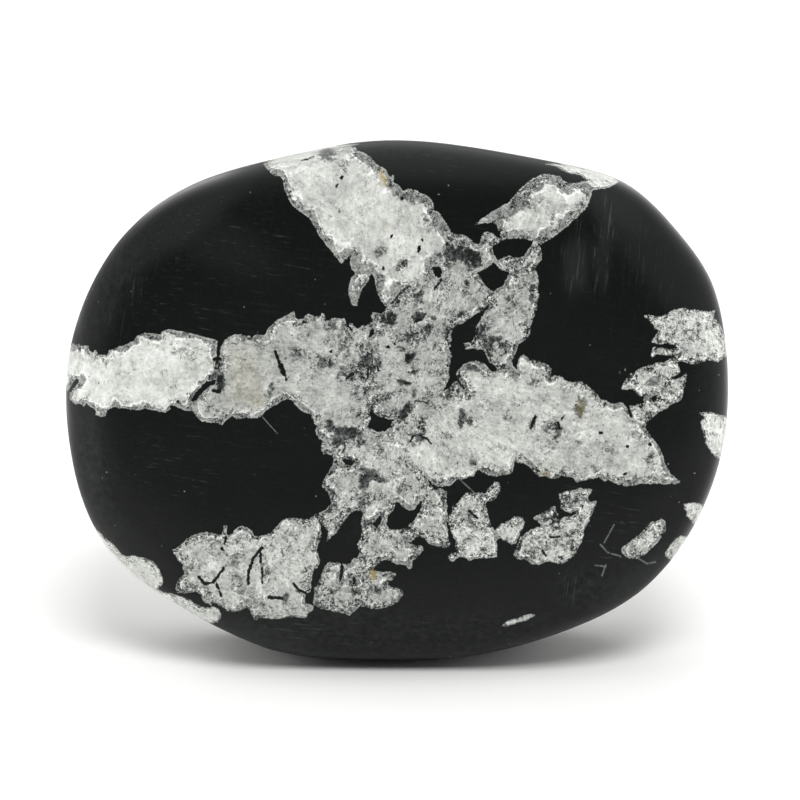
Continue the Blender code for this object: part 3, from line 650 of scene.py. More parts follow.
whitePatches = [                       # paler, cleaner places
    (-15.0, 40.8, 3.0, 3.2, -30, 0.7), (-4.6, 33.4, 4.0, 4.2, 0, 0.6), (2.2, 27.8, 2.6, 2.2, 0, 0.7),
    (-11.0, 29.6, 1.6, 3.0, 35, 0.8), (-44.0, 7.8, 6.0, 3.0, 0, 0.8), (-46.0, 1.0, 3.4, 2.2, 0, 0.9),
    (-55.6, 4.0, 3.0, 4.4, 0, 0.9), (7.6, 20.6, 3.2, 2.4, 20, 0.5), (17.4, -9.4, 4.0, 2.4, 0, 0.5),
    (12.8, 3.0, 3.0, 1.8, 0, 0.6), (30.6, 36.6, 2.4, 1.6, 0, 0.5), (22.6, -6.6, 1.4, 2.4, 0, 0.5),
    (4.4, 4.0, 2.6, 1.6, 0, 0.6), (-2.0, -0.2, 2.4, 1.0, 0, 0.4), (36.0, -5.0, 2.4, 1.4, 0, 0.4),
    (-13.4, 0.8, 3.2, 1.8, 0, 0.5), (-22.4, 12.0, 1.8, 1.2, 0, 0.5), (5.8, -11.0, 3.6, 1.8, 0, 0.4),
]
ochrePatches = [                       # iron stains
    (-28.0, 6.4, 2.8, 3.4, -20, 0.16), (-27.0, 1.6, 3.2, 3.0, 0, 0.19), (-2.4, 40.2, 0.5, 1.5, 22, 1.0),
    (-4.2, -31.8, 0.6, 1.0, 0, 1.0), (-2.2, 31.7, 0.5, 0.6, 0, 0.5), (33.5, -1.5, 0.8, 1.8, 0, 0.35),
    (27.0, -13.4, 0.8, 0.5, 0, 0.5), (-25.0, -0.6, 1.2, 0.8, 0, 0.25),
]
darkSpecks = [
    (-9.9, 40.3, 0.20, 0.34, -30), (-10.8, 38.8, 0.12, 0.24, -30), (1.0, 36.5, 0.26, 0.26, 0),
    (-0.9, 29.7, 0.14, 0.26, -35), (4.1, 27.3, 0.28, 0.55, -10), (4.7, 29.0, 0.13, 0.17, 0),
    (9.2, 28.3, 0.25, 0.25, 0), (-2.4, 23.8, 0.17, 0.28, 0), (6.3, 34.0, 0.25, 0.16, 0),
    (-1.5, 9.5, 0.30, 0.26, 0), (-0.5, 10.2, 0.30, 0.14, -40), (7.3, 13.1, 0.45, 0.20, 30),
    (4.1, 14.4, 0.60, 0.18, 20), (2.3, 5.0, 0.30, 0.12, 0), (2.1, 7.6, 0.20, 0.34, 0),
    (37.0, -6.0, 0.35, 0.20, 0), (46.0, -8.1, 0.22, 0.30, 0), (42.0, -8.5, 0.24, 0.24, 0),
    (41.5, -13.5, 0.45, 0.18, 20), (29.0, -5.3, 0.18, 0.26, 0), (25.0, -3.8, 0.14, 0.60, -10),
    (-39.7, -0.4, 0.14, 0.24, 0), (-11.9, 8.8, 0.22, 0.22, 0), (1.8, -2.9, 0.40, 0.20, 20),
    (1.6, -1.2, 0.30, 0.14, 30), (4.9, -4.6, 0.12, 0.60, 10), (-6.9, 9.8, 0.30, 0.24, 0),
]
crumbFinish = {"pale": 0.62, "grain": 0.4, "rind": 0.3}
crumbs = [                             # bits of crystal on their own in the black
    (-27.7, 26.8, 0.14), (-27.3, 22.2, 0.12), (7.7, 37.2, 0.14), (45.5, 15.0, 0.13), (40.5, 4.9, 0.16),
    (41.5, 5.5, 0.13), (58.5, 4.4, 0.12), (54.0, -13.4, 0.15), (9.7, -46.7, 0.12), (-27.0, 42.6, 0.35),
]
lightScratches = [                     # the points of each line, and its width
    ([(37.0, -26.3), (38.4, -27.8), (40.2, -28.3), (41.0, -28.6)], 0.12),
    ([(37.7, -26.0), (39.5, -22.7)], 0.08), ([(36.0, -30.1), (38.0, -30.3)], 0.10),
    ([(38.0, -30.0), (37.3, -32.0)], 0.10), ([(44.0, -28.9), (45.5, -29.8), (47.0, -29.5)], 0.10),
    ([(11.5, -14.5), (14.0, -16.8)], 0.08), ([(-24.3, -3.2), (-21.6, -6.2)], 0.03),
]
grainyPatches = [                      # more black grain is caught here
    (-5.8, 6.4, 3.0, 4.2, 10, 1.0), (3.3, 11.4, 2.2, 2.0, 0, 1.0), (1.5, -3.0, 1.6, 3.4, -25, 0.9),
    (4.6, -5.4, 1.2, 2.6, 15, 0.8), (10.6, 0.6, 3.2, 1.6, 0, 0.8), (-12.0, -15.6, 1.6, 4.6, 0, 0.7),
    (-7.0, -21.0, 1.0, 4.0, 0, 0.6), (18.0, 9.6, 3.0, 2.6, 0, 0.7), (13.4, 6.2, 3.4, 0.9, -5, 0.7),
    (26.0, 7.0, 2.0, 1.6, 0, 0.5), (-11.6, -8.8, 2.2, 1.6, 0, 0.7), (18.6, 20.4, 1.4, 1.6, 0, 0.7),
    (9.2, 11.4, 1.2, 2.6, 0, 0.7), (12.0, 15.4, 2.6, 1.0, 25, 0.7), (-11.0, 10.4, 4.0, 2.0, 0, 0.5),
    (24.4, 37.0, 3.6, 1.4, 35, 0.6), (30.4, 38.8, 3.0, 1.2, -15, 0.6), (-5.6, 5.6, 4.0, 5.6, 0, 0.55),
    (-32.0, 3.2, 1.0, 2.6, 0, 0.9), (3.4, 12.4, 2.4, 3.0, 0, 0.6), (28.6, -6.0, 3.0, 2.2, -15, 0.6),
    (46.8, -11.4, 2.6, 3.0, 30, 0.6), (1.0, 24.4, 1.8, 1.2, 35, 0.6), (-12.5, 44.5, 2.0, 1.6, 0, 0.5),
    (5.2, 30.8, 2.4, 1.6, 20, 0.45), (-14.0, 5.4, 3.4, 2.0, 0, 0.45),
]
acrossScratches = [                    # streaks of the polishing that run across
    (-34.0, 30.0, 12.0, 7.0, 10, 0.45), (-40.0, 17.0, 10.0, 4.0, -20, 0.5),
    (-20.0, 24.0, 8.0, 5.0, 0, 0.4), (-38.0, -12.0, 14.0, 6.0, 0, 0.45), (8.0, 43.0, 14.0, 3.0, 0, 0.35),
    (40.0, -20.0, 9.0, 3.5, -35, 0.5), (38.4, -27.6, 3.6, 1.8, -30, 1.0), (45.4, -29.2, 2.4, 0.9, 0, 0.9),
    (-14.0, -43.0, 22.0, 4.0, 0, 0.7),
]
uprightScratches = [                   # and streaks that run up the face
    (37.6, 28.0, 1.5, 8.0, -6, 1.6), (32.4, 26.0, 1.2, 7.0, -6, 1.2), (32.6, 21.2, 1.4, 1.4, 0, 1.5),
    (32.4, -34.4, 3.2, 2.8, 30, 1.0), (45.0, 22.0, 4.0, 9.0, 8, 0.35), (12.6, -15.8, 1.6, 1.4, 40, 0.6),
    (-49.0, 16.0, 3.0, 9.0, -20, 0.4),
]
scuffAndSheenPatches = [                     # places that are worn matt, and along the top, the bottom and the left rim a painted reflection
    (-12.0, -42.5, 26.0, 4.5, 0, 0.8), (16.0, -42.5, 18.0, 4.5, 6, 0.5),
    (-55.0, -14.0, 4.0, 14.0, 12, 0.7), (-52.0, 22.0, 4.5, 14.0, -24, 0.55),
    (0.0, 46.5, 26.0, 2.4, 0, 0.6), (40.0, -34.0, 9.0, 3.5, 38, 0.5), (33.0, -33.6, 4.6, 3.2, 25, 0.8),
    (56.0, 2.0, 3.0, 20.0, 0, 0.25), (-6.0, -24.0, 5.0, 3.0, 0, 0.3),
]
hazeAndRimSheenPatches = [                        # places with a pale bloom, and along the rim a painted sheen of reflected light
    (32.6, 24.5, 2.2, 5.0, -6, 0.8), (37.6, 28.0, 1.4, 7.0, -6, 0.6), (-33.0, 29.0, 12.0, 5.0, -25, 0.35),
    (6.0, 45.0, 44.0, 4.6, 0, 1.0), (-30.0, -43.0, 20.0, 4.0, -20, 0.7), (-57.5, 0.0, 2.4, 30.0, 8, 0.6),
    (58.8, 4.0, 1.2, 26.0, 0, 0.3), (36.0, 38.0, 10.0, 3.0, -40, 0.8), (-38.0, 32.0, 14.0, 2.6, 38, 0.6),
    (44.0, -34.0, 14.0, 3.0, 40, 0.6), (-48.0, -26.0, 10.0, 2.4, -40, 0.5),
]

# The back of the stone isn't in the photo. The crystals run on through it, so the same flower comes out
# there, turned a little and with its outlines wandering. On the rim the two taper past each other
backFlower = {
    "from": 24,                        # mm behind the face, where its crystals end
    "gapsFrom": 30,                    # the gaps only from here, clear of the ends on the rim
    "turn": math.radians(-5),
    "size": 0.95,
    "waves": [(2.6, 8.0, 1.0), (1.3, 3.4, 2.4), (0.5, 1.3, 0.6)],   # how high and long, and their start
    "alongDepth": 0.7,                 # how much of the depth shifts the waves
    "taperOver": 10,                   # mm of depth over which a crystal runs out
    "taperBy": 6,                      # and how many mm narrower it is there
}

# The stone itself: a finer copy of the CAD solid, split small where a crystal's edge crosses it
stone = {
    "smoothing": 1,
    "creaseAngle": math.radians(25),
    "mergeWithin": 0.01 * mm,
    "quadAngle": math.radians(60),     # flatter pairs of triangles than this become quads
    # Each split halves the mesh edges that are longer than the first number and near a crystal's edge,
    # within the second, or near a crack, speck or scratch, within the third, all in mm, or across which
    # a patch's strength changes by more than the fourth
    "splits": [(2.4, 3.0, 3.0, 0.25), (1.2, 1.2, 1.5, 0.20), (1.2, 1.2, 1.5, 0.20), (0.64, 0.6, 0.9, 0.15),
               (0.64, 0.6, 0.9, 0.15), (0.38, 0.3, 0.4, 0.15), (0.22, 0.0, 0.2, 9.0)],
    "crystalGrid": 0.6,                # mm, down to which the insides of the front's crystals are split too
    "leanBack": math.radians(10),
    "wear": 0.25 * mm,                 # how deep the hand polish waves go
    "wearSize": 16 * mm,
    "wearClearOfFoot": 4 * mm,
    "unworn": 0.3,                     # share of that height that isn't worn at all
    "lineSpare": 0.07,                 # mm more on each side of a line, for what the mesh rounds off
    "crystalReach": 4,                 # mm around a crystal within which its distance is worked out
    "lineReach": 3,                    # and around a gap, crack or scratch
    "far": 9.0,                        # mm, the distance given to places with nothing near
    "frontDepth": 20,                  # mm behind the face that the inner crystals reach
    "runOut": 4,                       # mm past its own depth where a crystal ends
    "marksEnd": 24,                    # mm behind the face where the marks of the front have faded
    "marksFade": 6,                    # mm over which they fade
    "rimFrom": 10,                     # mm behind the face where the rim's flank starts
    "rimWaves": (0.7, 1.6),            # how high and long the crystals' edges wander there
    "rimWavesGrow": 5,                 # mm over which they start
    "patchReach": 1.55,                # how far a patch reaches, as a multiple of its ellipse
    "patchFade": 1.2,                  # and how much of that it fades over
    "backScuff": 0.5,                  # how worn the back is
    "flowerMiddle": (3.0, 5.0),
    "streakCut": math.radians(155),    # where the angle about the middle starts, inside the black
    "streakRadius": 14,                # mm from the middle at which that angle becomes a length
}
stoneDepth = Vector((0, math.cos(stone["leanBack"]), -math.sin(stone["leanBack"])))
stoneUp = Vector((0, math.sin(stone["leanBack"]), math.cos(stone["leanBack"])))


def copyOfSolid(node):
    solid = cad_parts[node]
    piece = bpy.data.objects.new("polishedStone", solid.data.copy())
    bpy.context.collection.objects.link(piece)
    bpy.context.view_layer.objects.active = piece
    piece.select_set(True)
    bpy.ops.object.mode_set(mode="EDIT")
    bpy.ops.mesh.select_mode(type="VERT")
    bpy.ops.mesh.select_all(action="SELECT")
    bpy.ops.mesh.remove_doubles(threshold=stone["mergeWithin"])
    flat = stone["quadAngle"]
    bpy.ops.mesh.tris_convert_to_quads(face_threshold=flat, shape_threshold=flat)
    bpy.ops.mesh.select_all(action="DESELECT")
    bpy.ops.mesh.select_mode(type="EDGE")
    bpy.ops.mesh.edges_select_sharp(sharpness=stone["creaseAngle"])
    bpy.ops.transform.edge_crease(value=1)
    bpy.ops.object.mode_set(mode="OBJECT")
    return piece


def smoothed(piece):
    rounding = piece.modifiers.new("rounding", "SUBSURF")
    rounding.levels = stone["smoothing"]
    rounding.render_levels = stone["smoothing"]
    bpy.ops.object.modifier_apply(modifier="rounding")


def worn(piece):
    # Shallow waves of the grinding, all inwards, fading out at the foot so that it stays flat
    waves = bpy.data.textures.new("grindingWaves", "CLOUDS")
    waves.noise_scale = stone["wearSize"]
    waves.noise_depth = 1
    aboveFoot = piece.vertex_groups.new(name="aboveFoot")
    for vertex in piece.data.vertices:
        height = vertex.co.z - lowest.z
        share = height / stone["wearClearOfFoot"] - stone["unworn"]
        aboveFoot.add([vertex.index], min(max(share, 0), 1), "REPLACE")
    grinding = piece.modifiers.new("grinding", "DISPLACE")
    grinding.texture = waves
    grinding.texture_coords = "LOCAL"
    grinding.mid_level = 1
    grinding.strength = stone["wear"]
    grinding.vertex_group = "aboveFoot"
    bpy.ops.object.modifier_apply(modifier="grinding")


def pointsOf(piece):
    points = np.empty(len(piece.data.vertices) * 3)
    piece.data.vertices.foreach_get("co", points)
    return points.reshape(-1, 3)


def asSeen(points):
    # Millimetres right and up from the middle of the outline, along the camera's lines of sight
    offsets = points - np.array(eye)
    scale = camera["distance"] / (offsets @ np.array(sightDown)) / mm
    right = offsets @ np.array(sightRight) * scale - pictureRight / mm
    up = offsets @ np.array(sightUp) * scale - pictureUp / mm
    return np.stack([right, up], axis=1)


def straightThrough(points):
    # The same, but square to the face, so that it runs on unbroken round the rim
    offsets = (points - np.array(outlineMiddle)) / mm
    return np.stack([offsets[:, 0], offsets @ np.array(stoneUp)], axis=1)


def depthOf(points):
    along = points @ np.array(stoneDepth) / mm
    return along - along.min()


def distanceToLine(places, line, closed):
    corners = np.array(line, dtype=float)
    starts = corners if closed else corners[:-1]
    ends = np.roll(corners, -1, axis=0) if closed else corners[1:]
    nearest = np.full(len(places), np.inf)
    for start, end in zip(starts, ends):
        run = end - start
        along = np.clip((places - start) @ run / max(run @ run, 1e-9), 0, 1)
        gap = places - start - along[:, None] * run
        nearest = np.minimum(nearest, np.einsum("ij,ij->i", gap, gap))
    return np.sqrt(nearest)


def insideBy(places, outline):
    # How far inside the outline each place lies, negative outside
    corners = np.array(outline, dtype=float)
    inside = np.zeros(len(places), dtype=bool)
    right, up = places[:, 0], places[:, 1]
    for (x0, y0), (x1, y1) in zip(corners, np.roll(corners, -1, axis=0)):
        if y0 != y1:
            crosses = (y0 > up) != (y1 > up)
            inside ^= crosses & (right < (x1 - x0) * (up - y0) / (y1 - y0) + x0)
    distance = distanceToLine(places, outline, closed=True)
    return np.where(inside, distance, -distance)


def nearBox(places, outline, margin):
    corners = np.array(outline, dtype=float)
    low, high = corners.min(axis=0) - margin, corners.max(axis=0) + margin
    return np.all((places > low) & (places < high), axis=1)


def taper(depthLeft):
    # How much narrower a crystal is, this far before its end, and narrower still past it
    share = np.clip(1 - depthLeft / backFlower["taperOver"], 0, 2)
    return backFlower["taperBy"] * share ** 1.5


def onTheBack(points, depth):
    # Places on the back and the rim, as the outlines of the flower lie there
    turn, size = backFlower["turn"], backFlower["size"]
    right, up = (straightThrough(points) / size).T
    places = np.stack([right * math.cos(turn) - up * math.sin(turn),
                       right * math.sin(turn) + up * math.cos(turn)], axis=1)
    for high, long, start in backFlower["waves"]:
        along = depth * backFlower["alongDepth"]
        sideways = np.sin((places[:, 1] + along) / long + start)
        upwards = np.sin((places[:, 0] - along) / long + 2 * start)
        places = places + high * np.stack([sideways, upwards], axis=1)
    return places


def flowerField(points):
    # Signed distance to the nearest crystal edge in mm, and which crystal it is
    seen = asSeen(points)
    depth = depthOf(points)
    edge = np.full(len(points), -stone["far"])
    which = np.full(len(points), len(crystals))

    def lay(outline, places, depthLeft, number):
        reach = stone["crystalReach"]
        near = nearBox(places, outline, reach) & (depthLeft > -reach)
        distance = insideBy(places[near], outline) - taper(depthLeft[near])
        better = distance > edge[near]
        chosen = np.flatnonzero(near)[better]
        edge[chosen] = distance[better]
        which[chosen] = number

    high, long = stone["rimWaves"]
    wander = high * np.sin(depth / long)
    wander *= np.clip((depth - stone["rimFrom"]) / stone["rimWavesGrow"], 0, 1)
    wavy = seen + wander[:, None]
    for number, crystal in enumerate(crystals.values()):
        end = (crystal["depth"] or stone["frontDepth"]) + stone["runOut"]
        lay(crystal["outline"], wavy, end - depth, number)
    front = depth < stone["frontDepth"]
    for gap in gaps.values():
        near = nearBox(seen, gap, stone["lineReach"]) & front
        edge[near] = np.minimum(edge[near], -insideBy(seen[near], gap))
    for right, up, size in crumbs:
        distance = size - np.hypot(seen[:, 0] - right, seen[:, 1] - up)
        distance = np.where(front, distance, -stone["far"])
        which[distance > edge] = len(crystals)
        edge = np.maximum(edge, distance)
    behind = onTheBack(points, depth)
    for number, crystal in enumerate(crystals.values()):
        lay(crystal["outline"], behind, depth - backFlower["from"], number)
    for gap in gaps.values():
        near = nearBox(behind, gap, stone["lineReach"]) & (depth > backFlower["gapsFrom"])
        edge[near] = np.minimum(edge[near], -insideBy(behind[near], gap))
    return edge, which


def ellipseReach(places, right, up, halfWidth, halfHeight, tilt):
    # 0 at the middle of the ellipse and 1 on its edge
    turn = math.radians(tilt)
    x, y = places[:, 0] - right, places[:, 1] - up
    across = (x * math.cos(turn) + y * math.sin(turn)) / halfWidth
    upright = (y * math.cos(turn) - x * math.sin(turn)) / halfHeight
    return np.hypot(across, upright)


def seamField(points):
    # Signed distance in mm to the nearest crack or dark speck, negative inside it, and to a light scratch
    seen = asSeen(points)
    front = depthOf(points) < stone["frontDepth"]
    fields = []
    for lines in (cracks, lightScratches):
        distance = np.full(len(points), stone["far"])
        for line, width in lines:
            near = nearBox(seen, line, stone["lineReach"]) & front
            along = distanceToLine(seen[near], line, closed=False) - width / 2 - stone["lineSpare"]
            distance[near] = np.minimum(distance[near], along)
        fields.append(distance)
    for right, up, halfWidth, halfHeight, tilt in darkSpecks:
        reach = ellipseReach(seen, right, up, halfWidth, halfHeight, tilt)
        distance = np.where(front, (reach - 1) * min(halfWidth, halfHeight), stone["far"])
        fields[0] = np.minimum(fields[0], distance - stone["lineSpare"])
    return fields


def patchField(places, patches):
    # How strongly soft-edged ellipses cover each place, from 0 to 1
    clear = np.ones(len(places))
    for right, up, halfWidth, halfHeight, tilt, strength in patches:
        reach = ellipseReach(places, right, up, halfWidth, halfHeight, tilt)
        cover = np.clip((stone["patchReach"] - reach) / stone["patchFade"], 0, 1)
        clear *= 1 - strength * cover * cover * (3 - 2 * cover)
    return 1 - clear


def splitNearEdges(piece, longest, edgeReach, seamReach, patchStep):
    points = pointsOf(piece)
    edge = flowerField(points)[0]
    seams, scratches = seamField(points)
    front = depthOf(points) < stone["frontDepth"]
    near = (np.abs(edge) < edgeReach) | (np.minimum(seams, scratches) < seamReach)
    near |= (edge > 0) & front & (longest >= stone["crystalGrid"])
    patches = patchField(asSeen(points), greyPatches + ochrePatches) * front
    ends = np.empty(len(piece.data.edges) * 2, dtype=int)
    piece.data.edges.foreach_get("vertices", ends)
    first, second = ends.reshape(-1, 2).T
    long = np.linalg.norm(points[first] - points[second], axis=1) > longest * mm
    wanted = near[first] | near[second] | (np.abs(patches[first] - patches[second]) > patchStep)
    bpy.ops.object.mode_set(mode="EDIT")
    bpy.ops.mesh.select_mode(type="EDGE")
    bpy.ops.mesh.select_all(action="DESELECT")
    bpy.ops.object.mode_set(mode="OBJECT")
    piece.data.edges.foreach_set("select", long & wanted)
    bpy.ops.object.mode_set(mode="EDIT")
    bpy.ops.mesh.subdivide(number_cuts=1)
    bpy.ops.mesh.select_all(action="DESELECT")
    bpy.ops.object.mode_set(mode="OBJECT")


def writeField(piece, name, values):
    attribute = piece.data.attributes.new(name, "FLOAT", "POINT")
    attribute.data.foreach_set("value", np.asarray(values, dtype=np.float32))


def writeFields(piece):
    points = pointsOf(piece)
    seen = asSeen(points)
    depth = depthOf(points)
    edge, which = flowerField(points)
    front = np.clip((stone["marksEnd"] - depth) / stone["marksFade"], 0, 1)
    each = list(crystals.values()) + [crumbFinish]
    seams, scratches = seamField(points)
    writeField(piece, "seam", seams)
    writeField(piece, "lightScratch", scratches)
    writeField(piece, "edge", edge)
    writeField(piece, "rind", np.array([crystal["rind"] for crystal in each])[which])
    writeField(piece, "pale", np.array([crystal["pale"] for crystal in each])[which])
    grain = np.array([crystal["grain"] for crystal in each])[which]
    writeField(piece, "grain", np.maximum(grain, patchField(seen, grainyPatches) * front))
    writeField(piece, "grey", patchField(seen, greyPatches) * front)
    writeField(piece, "white", patchField(seen, whitePatches) * front)
    writeField(piece, "ochre", patchField(seen, ochrePatches) * front)
    # a pale bloom, and along the rim a painted sheen of reflected light
    writeField(piece, "hazeAndRimSheen", patchField(seen, hazeAndRimSheenPatches) * front)
    writeField(piece, "scratchAcross", patchField(seen, acrossScratches) * front)
    writeField(piece, "scratchUpright", patchField(seen, uprightScratches) * front)
    # worn places, among them a painted reflection along the top, the bottom and the left rim; the back is
    # only worn
    scuffAndSheenCover = np.maximum(patchField(seen, scuffAndSheenPatches) * front, stone["backScuff"] * (1 - front))
    writeField(piece, "scuffAndSheen", scuffAndSheenCover)
    right, up = (straightThrough(points) - np.array(stone["flowerMiddle"])).T
    turn = np.mod(np.arctan2(up, right) - stone["streakCut"], 2 * math.pi)
    streak = np.stack([np.hypot(right, up), turn * stone["streakRadius"], depth], axis=1)
    attribute = piece.data.attributes.new("streak", "FLOAT_VECTOR", "POINT")
    attribute.data.foreach_set("vector", streak.astype(np.float32).ravel())


finish = {
    "black": (0.0026, 0.0034, 0.0031, 1),
    # the worn black, which also paints the sheen of reflected light along the rim and the bottom
    "blackWornAndSheen": (0.040, 0.044, 0.042, 1),
    "gloss": 0.13,
    "blackRoughness": (0.27, 0.60),    # where polished, and where scuffed
    "acrossTilt": (0, -0.17, 0),       # radians by which the streaks of the polishing lean
    "uprightTilt": (0, -0.12, 0),
    "crystalTones": [(0.0, (0.012, 0.014, 0.013, 1)), (0.30, (0.13, 0.14, 0.135, 1)),
                     (0.55, (0.34, 0.35, 0.33, 1)), (0.80, (0.64, 0.65, 0.615, 1)),
                     (1.0, (0.87, 0.88, 0.85, 1))],
    "paleTrim": -0.05,                 # tones go from 0 for caught limestone to 1 for the whitest crystal
    "rindTone": 0.46,
    "hairlineTone": 0.66,
    "blackGrainTone": 0.05,
    "dust": (0.30, 0.31, 0.30, 1),
    "ochre": (0.36, 0.29, 0.11, 1),
    "crystalRoughness": (0.40, 0.56),
    "bumpStrength": 0.35,
    "bumpDepth": 0.05 * mm,
}


def limestone():
    material = bpy.data.materials.new("chrysanthemumLimestone")
    material.use_nodes = True
    nodes, links = material.node_tree.nodes, material.node_tree.links
    shader = nodes["Principled BSDF"]
    shader.inputs["Specular IOR Level"].default_value = finish["gloss"]

    def feed(value, socket):
        if isinstance(value, bpy.types.NodeSocket):
            links.new(value, socket)
        else:
            socket.default_value = value

    def maths(operation, first, second=0.0):
        node = nodes.new("ShaderNodeMath")
        node.operation = operation
        feed(first, node.inputs[0])
        feed(second, node.inputs[1])
        return node.outputs[0]

    def plus(*values):
        total = values[0]
        for value in values[1:]:
            total = maths("ADD", total, value)
        return total

    def minus(first, second):
        return maths("SUBTRACT", first, second)

    def times(*values):
        product = values[0]
        for value in values[1:]:
            product = maths("MULTIPLY", product, value)
        return product

    def most(first, second):
        return maths("MAXIMUM", first, second)

    def between(value, low, high, toLow=0.0, toHigh=1.0):
        node = nodes.new("ShaderNodeMapRange")
        node.interpolation_type = "SMOOTHSTEP"
        for socket, given in zip(node.inputs[:5], (value, low, high, toLow, toHigh)):
            feed(given, socket)
        return node.outputs["Result"]

    def around(value, size):
        return times(minus(value, 0.5), size)

    def mixed(share, first, second):
        node = nodes.new("ShaderNodeMix")
        feed(share, node.inputs["Factor"])
        feed(first, node.inputs["A"])
        feed(second, node.inputs["B"])
        return node.outputs["Result"]

    def blend(share, first, second):
        node = nodes.new("ShaderNodeMix")
        node.data_type = "RGBA"
        feed(share, node.inputs["Factor"])
        feed(first, node.inputs["A"])
        feed(second, node.inputs["B"])
        return node.outputs["Result"]

    def ramp(value, stops):
        # The elements re-sort as they are added, so they are set in rising order
        node = nodes.new("ShaderNodeValToRGB")
        links.new(value, node.inputs["Fac"])
        elements = node.color_ramp.elements
        elements.remove(elements[1])
        elements[0].position, elements[0].color = stops[0]
        for place, colour in stops[1:]:
            elements.new(place).color = colour
        return node.outputs["Color"]

    def read(name, output="Fac"):
        node = nodes.new("ShaderNodeAttribute")
        node.attribute_name = name
        return node.outputs[output]

    def placed(vector, scale, turn=(0, 0, 0)):
        node = nodes.new("ShaderNodeMapping")
        feed(vector, node.inputs["Vector"])
        node.inputs["Scale"].default_value = scale
        node.inputs["Rotation"].default_value = turn
        return node.outputs["Vector"]

    def turned(vector, turn):
        return placed(vector, (1, 1, 1), turn)

    def noise(vector, scale, detail=3.0, roughness=0.55, distortion=0.0):
        node = nodes.new("ShaderNodeTexNoise")
        links.new(vector, node.inputs["Vector"])
        node.inputs["Scale"].default_value = scale
        node.inputs["Detail"].default_value = detail
        node.inputs["Roughness"].default_value = roughness
        node.inputs["Distortion"].default_value = distortion
        return node.outputs["Fac"]

    def cells(vector, scale, feature="F1"):
        node = nodes.new("ShaderNodeTexVoronoi")
        links.new(vector, node.inputs["Vector"])
        node.feature = feature
        node.inputs["Scale"].default_value = scale
        return node.outputs["Distance"]

    inMm = placed(nodes.new("ShaderNodeTexCoord").outputs["Object"], (1000, 1000, 1000))
    streak = read("streak", "Vector")
    rind = read("rind")
    mottle = noise(inMm, 1.0, 3, 0.65, 0.6)
    fine = noise(inMm, 1.9, 3, 0.75)

    # The crystal's edge, ragged at two sizes, with the cracks and specks inside it
    ragged = around(noise(inMm, 1.5, 3, 0.65), 0.65)
    frayed = around(noise(inMm, 4.0, 1, 0.6), 0.35)
    inside = plus(read("edge"), ragged, frayed)
    unbroken = between(plus(read("seam"), around(noise(inMm, 1.9, 3, 0.7), 0.75)), -0.05, 0.07)
    crystalMask = between(inside, -0.06, 0.06)

    # How much black grain is caught here: by crystal and place, and more towards the edges
    nearEdge = between(inside, 2.4, 0.3)
    region = between(noise(inMm, 0.42, 2, 0.6), 0.38, 0.62, 0.45, 1.25)
    grain = times(plus(times(read("grain"), 0.85), times(nearEdge, 0.40)), region)

    # Tone of the crystals: clouds, fibres that run out from the middle and the lines of the cleavage
    cloud = around(noise(inMm, 0.30, 3, 0.6), 0.55)
    fibres = around(noise(placed(streak, (0.55, 2.6, 1.4)), 1.0, 4, 0.65, 0.4), 0.62)
    cleavage = cells(placed(streak, (0.22, 0.5, 0.4), (0, 0, 0.5)), 1.0, "DISTANCE_TO_EDGE")
    cleavage = times(between(cleavage, 0.035, 0.0), around(mottle, 1.0))
    tone = plus(read("pale"), finish["paleTrim"], cloud, times(fibres, plus(0.6, grain)), cleavage)
    tone = plus(tone, times(read("white"), 0.10))
    tone = plus(tone, times(around(mottle, 1.0), plus(0.16, times(grain, 0.55))))
    tone = plus(tone, times(around(fine, 1.0), plus(0.26, times(grain, 1.25))))

    # Greyer places, with crisp ragged borders
    grey = read("grey")
    patchy = plus(grey, around(noise(inMm, 0.85, 4, 0.7, 0.7), 3.2))
    greyMask = times(between(patchy, 0.38, 0.50), between(grey, 0.02, 0.16))
    tone = minus(tone, times(greyMask, plus(0.12, times(grey, 0.46), around(fine, 1.7))))

    # The rind: a light hairline on the edge, a grey band inside it and a bright line where the body starts
    bandWidth = times(rind, between(noise(inMm, 0.35, 2), 0.35, 0.65, 0.35, 1.30))
    band = maths("DIVIDE", inside, most(bandWidth, 0.05))
    bandTone = plus(finish["rindTone"], around(fine, 0.9), around(mottle, 0.7))
    inBand = times(between(band, 1.15, 0.85), between(noise(inMm, 0.6, 3), 0.36, 0.46, 0.45, 0.95))
    tone = mixed(inBand, tone, bandTone)
    innerLine = times(between(band, 0.95, 1.15), between(band, 1.60, 1.25))
    tone = plus(tone, times(innerLine, between(mottle, 0.35, 0.6, 0.04, 0.26)))
    hairline = times(between(inside, 0.32, 0.12), between(mottle, 0.3, 0.6, 0.15, 0.85))
    tone = mixed(hairline, tone, finish["hairlineTone"])

    # Freckles, curling seams between the small crystals, and grains that are all black
    freckle = between(plus(noise(inMm, 2.1, 2, 0.6, 0.8), times(grain, 0.14)), 0.60, 0.70)
    tone = minus(tone, times(freckle, plus(0.16, times(grain, 0.34))))
    winding = maths("ABSOLUTE", around(noise(inMm, 0.85, 2, 0.5, 1.4), 1.0))
    curls = times(between(winding, 0.036, 0.012), between(grain, 0.22, 0.60))
    tone = minus(tone, times(curls, 0.46))
    lightGrains = times(between(noise(inMm, 2.7, 1, 0.5), 0.60, 0.70), grain)
    tone = plus(tone, times(lightGrains, 0.22))
    blackGrains = between(plus(noise(inMm, 1.7, 2, 0.6, 0.5), times(grain, 0.10)), 0.735, 0.765)
    tone = mixed(blackGrains, tone, finish["blackGrainTone"])
    body = ramp(tone, finish["crystalTones"])
    body = blend(times(read("ochre"), 0.75), body, finish["ochre"])
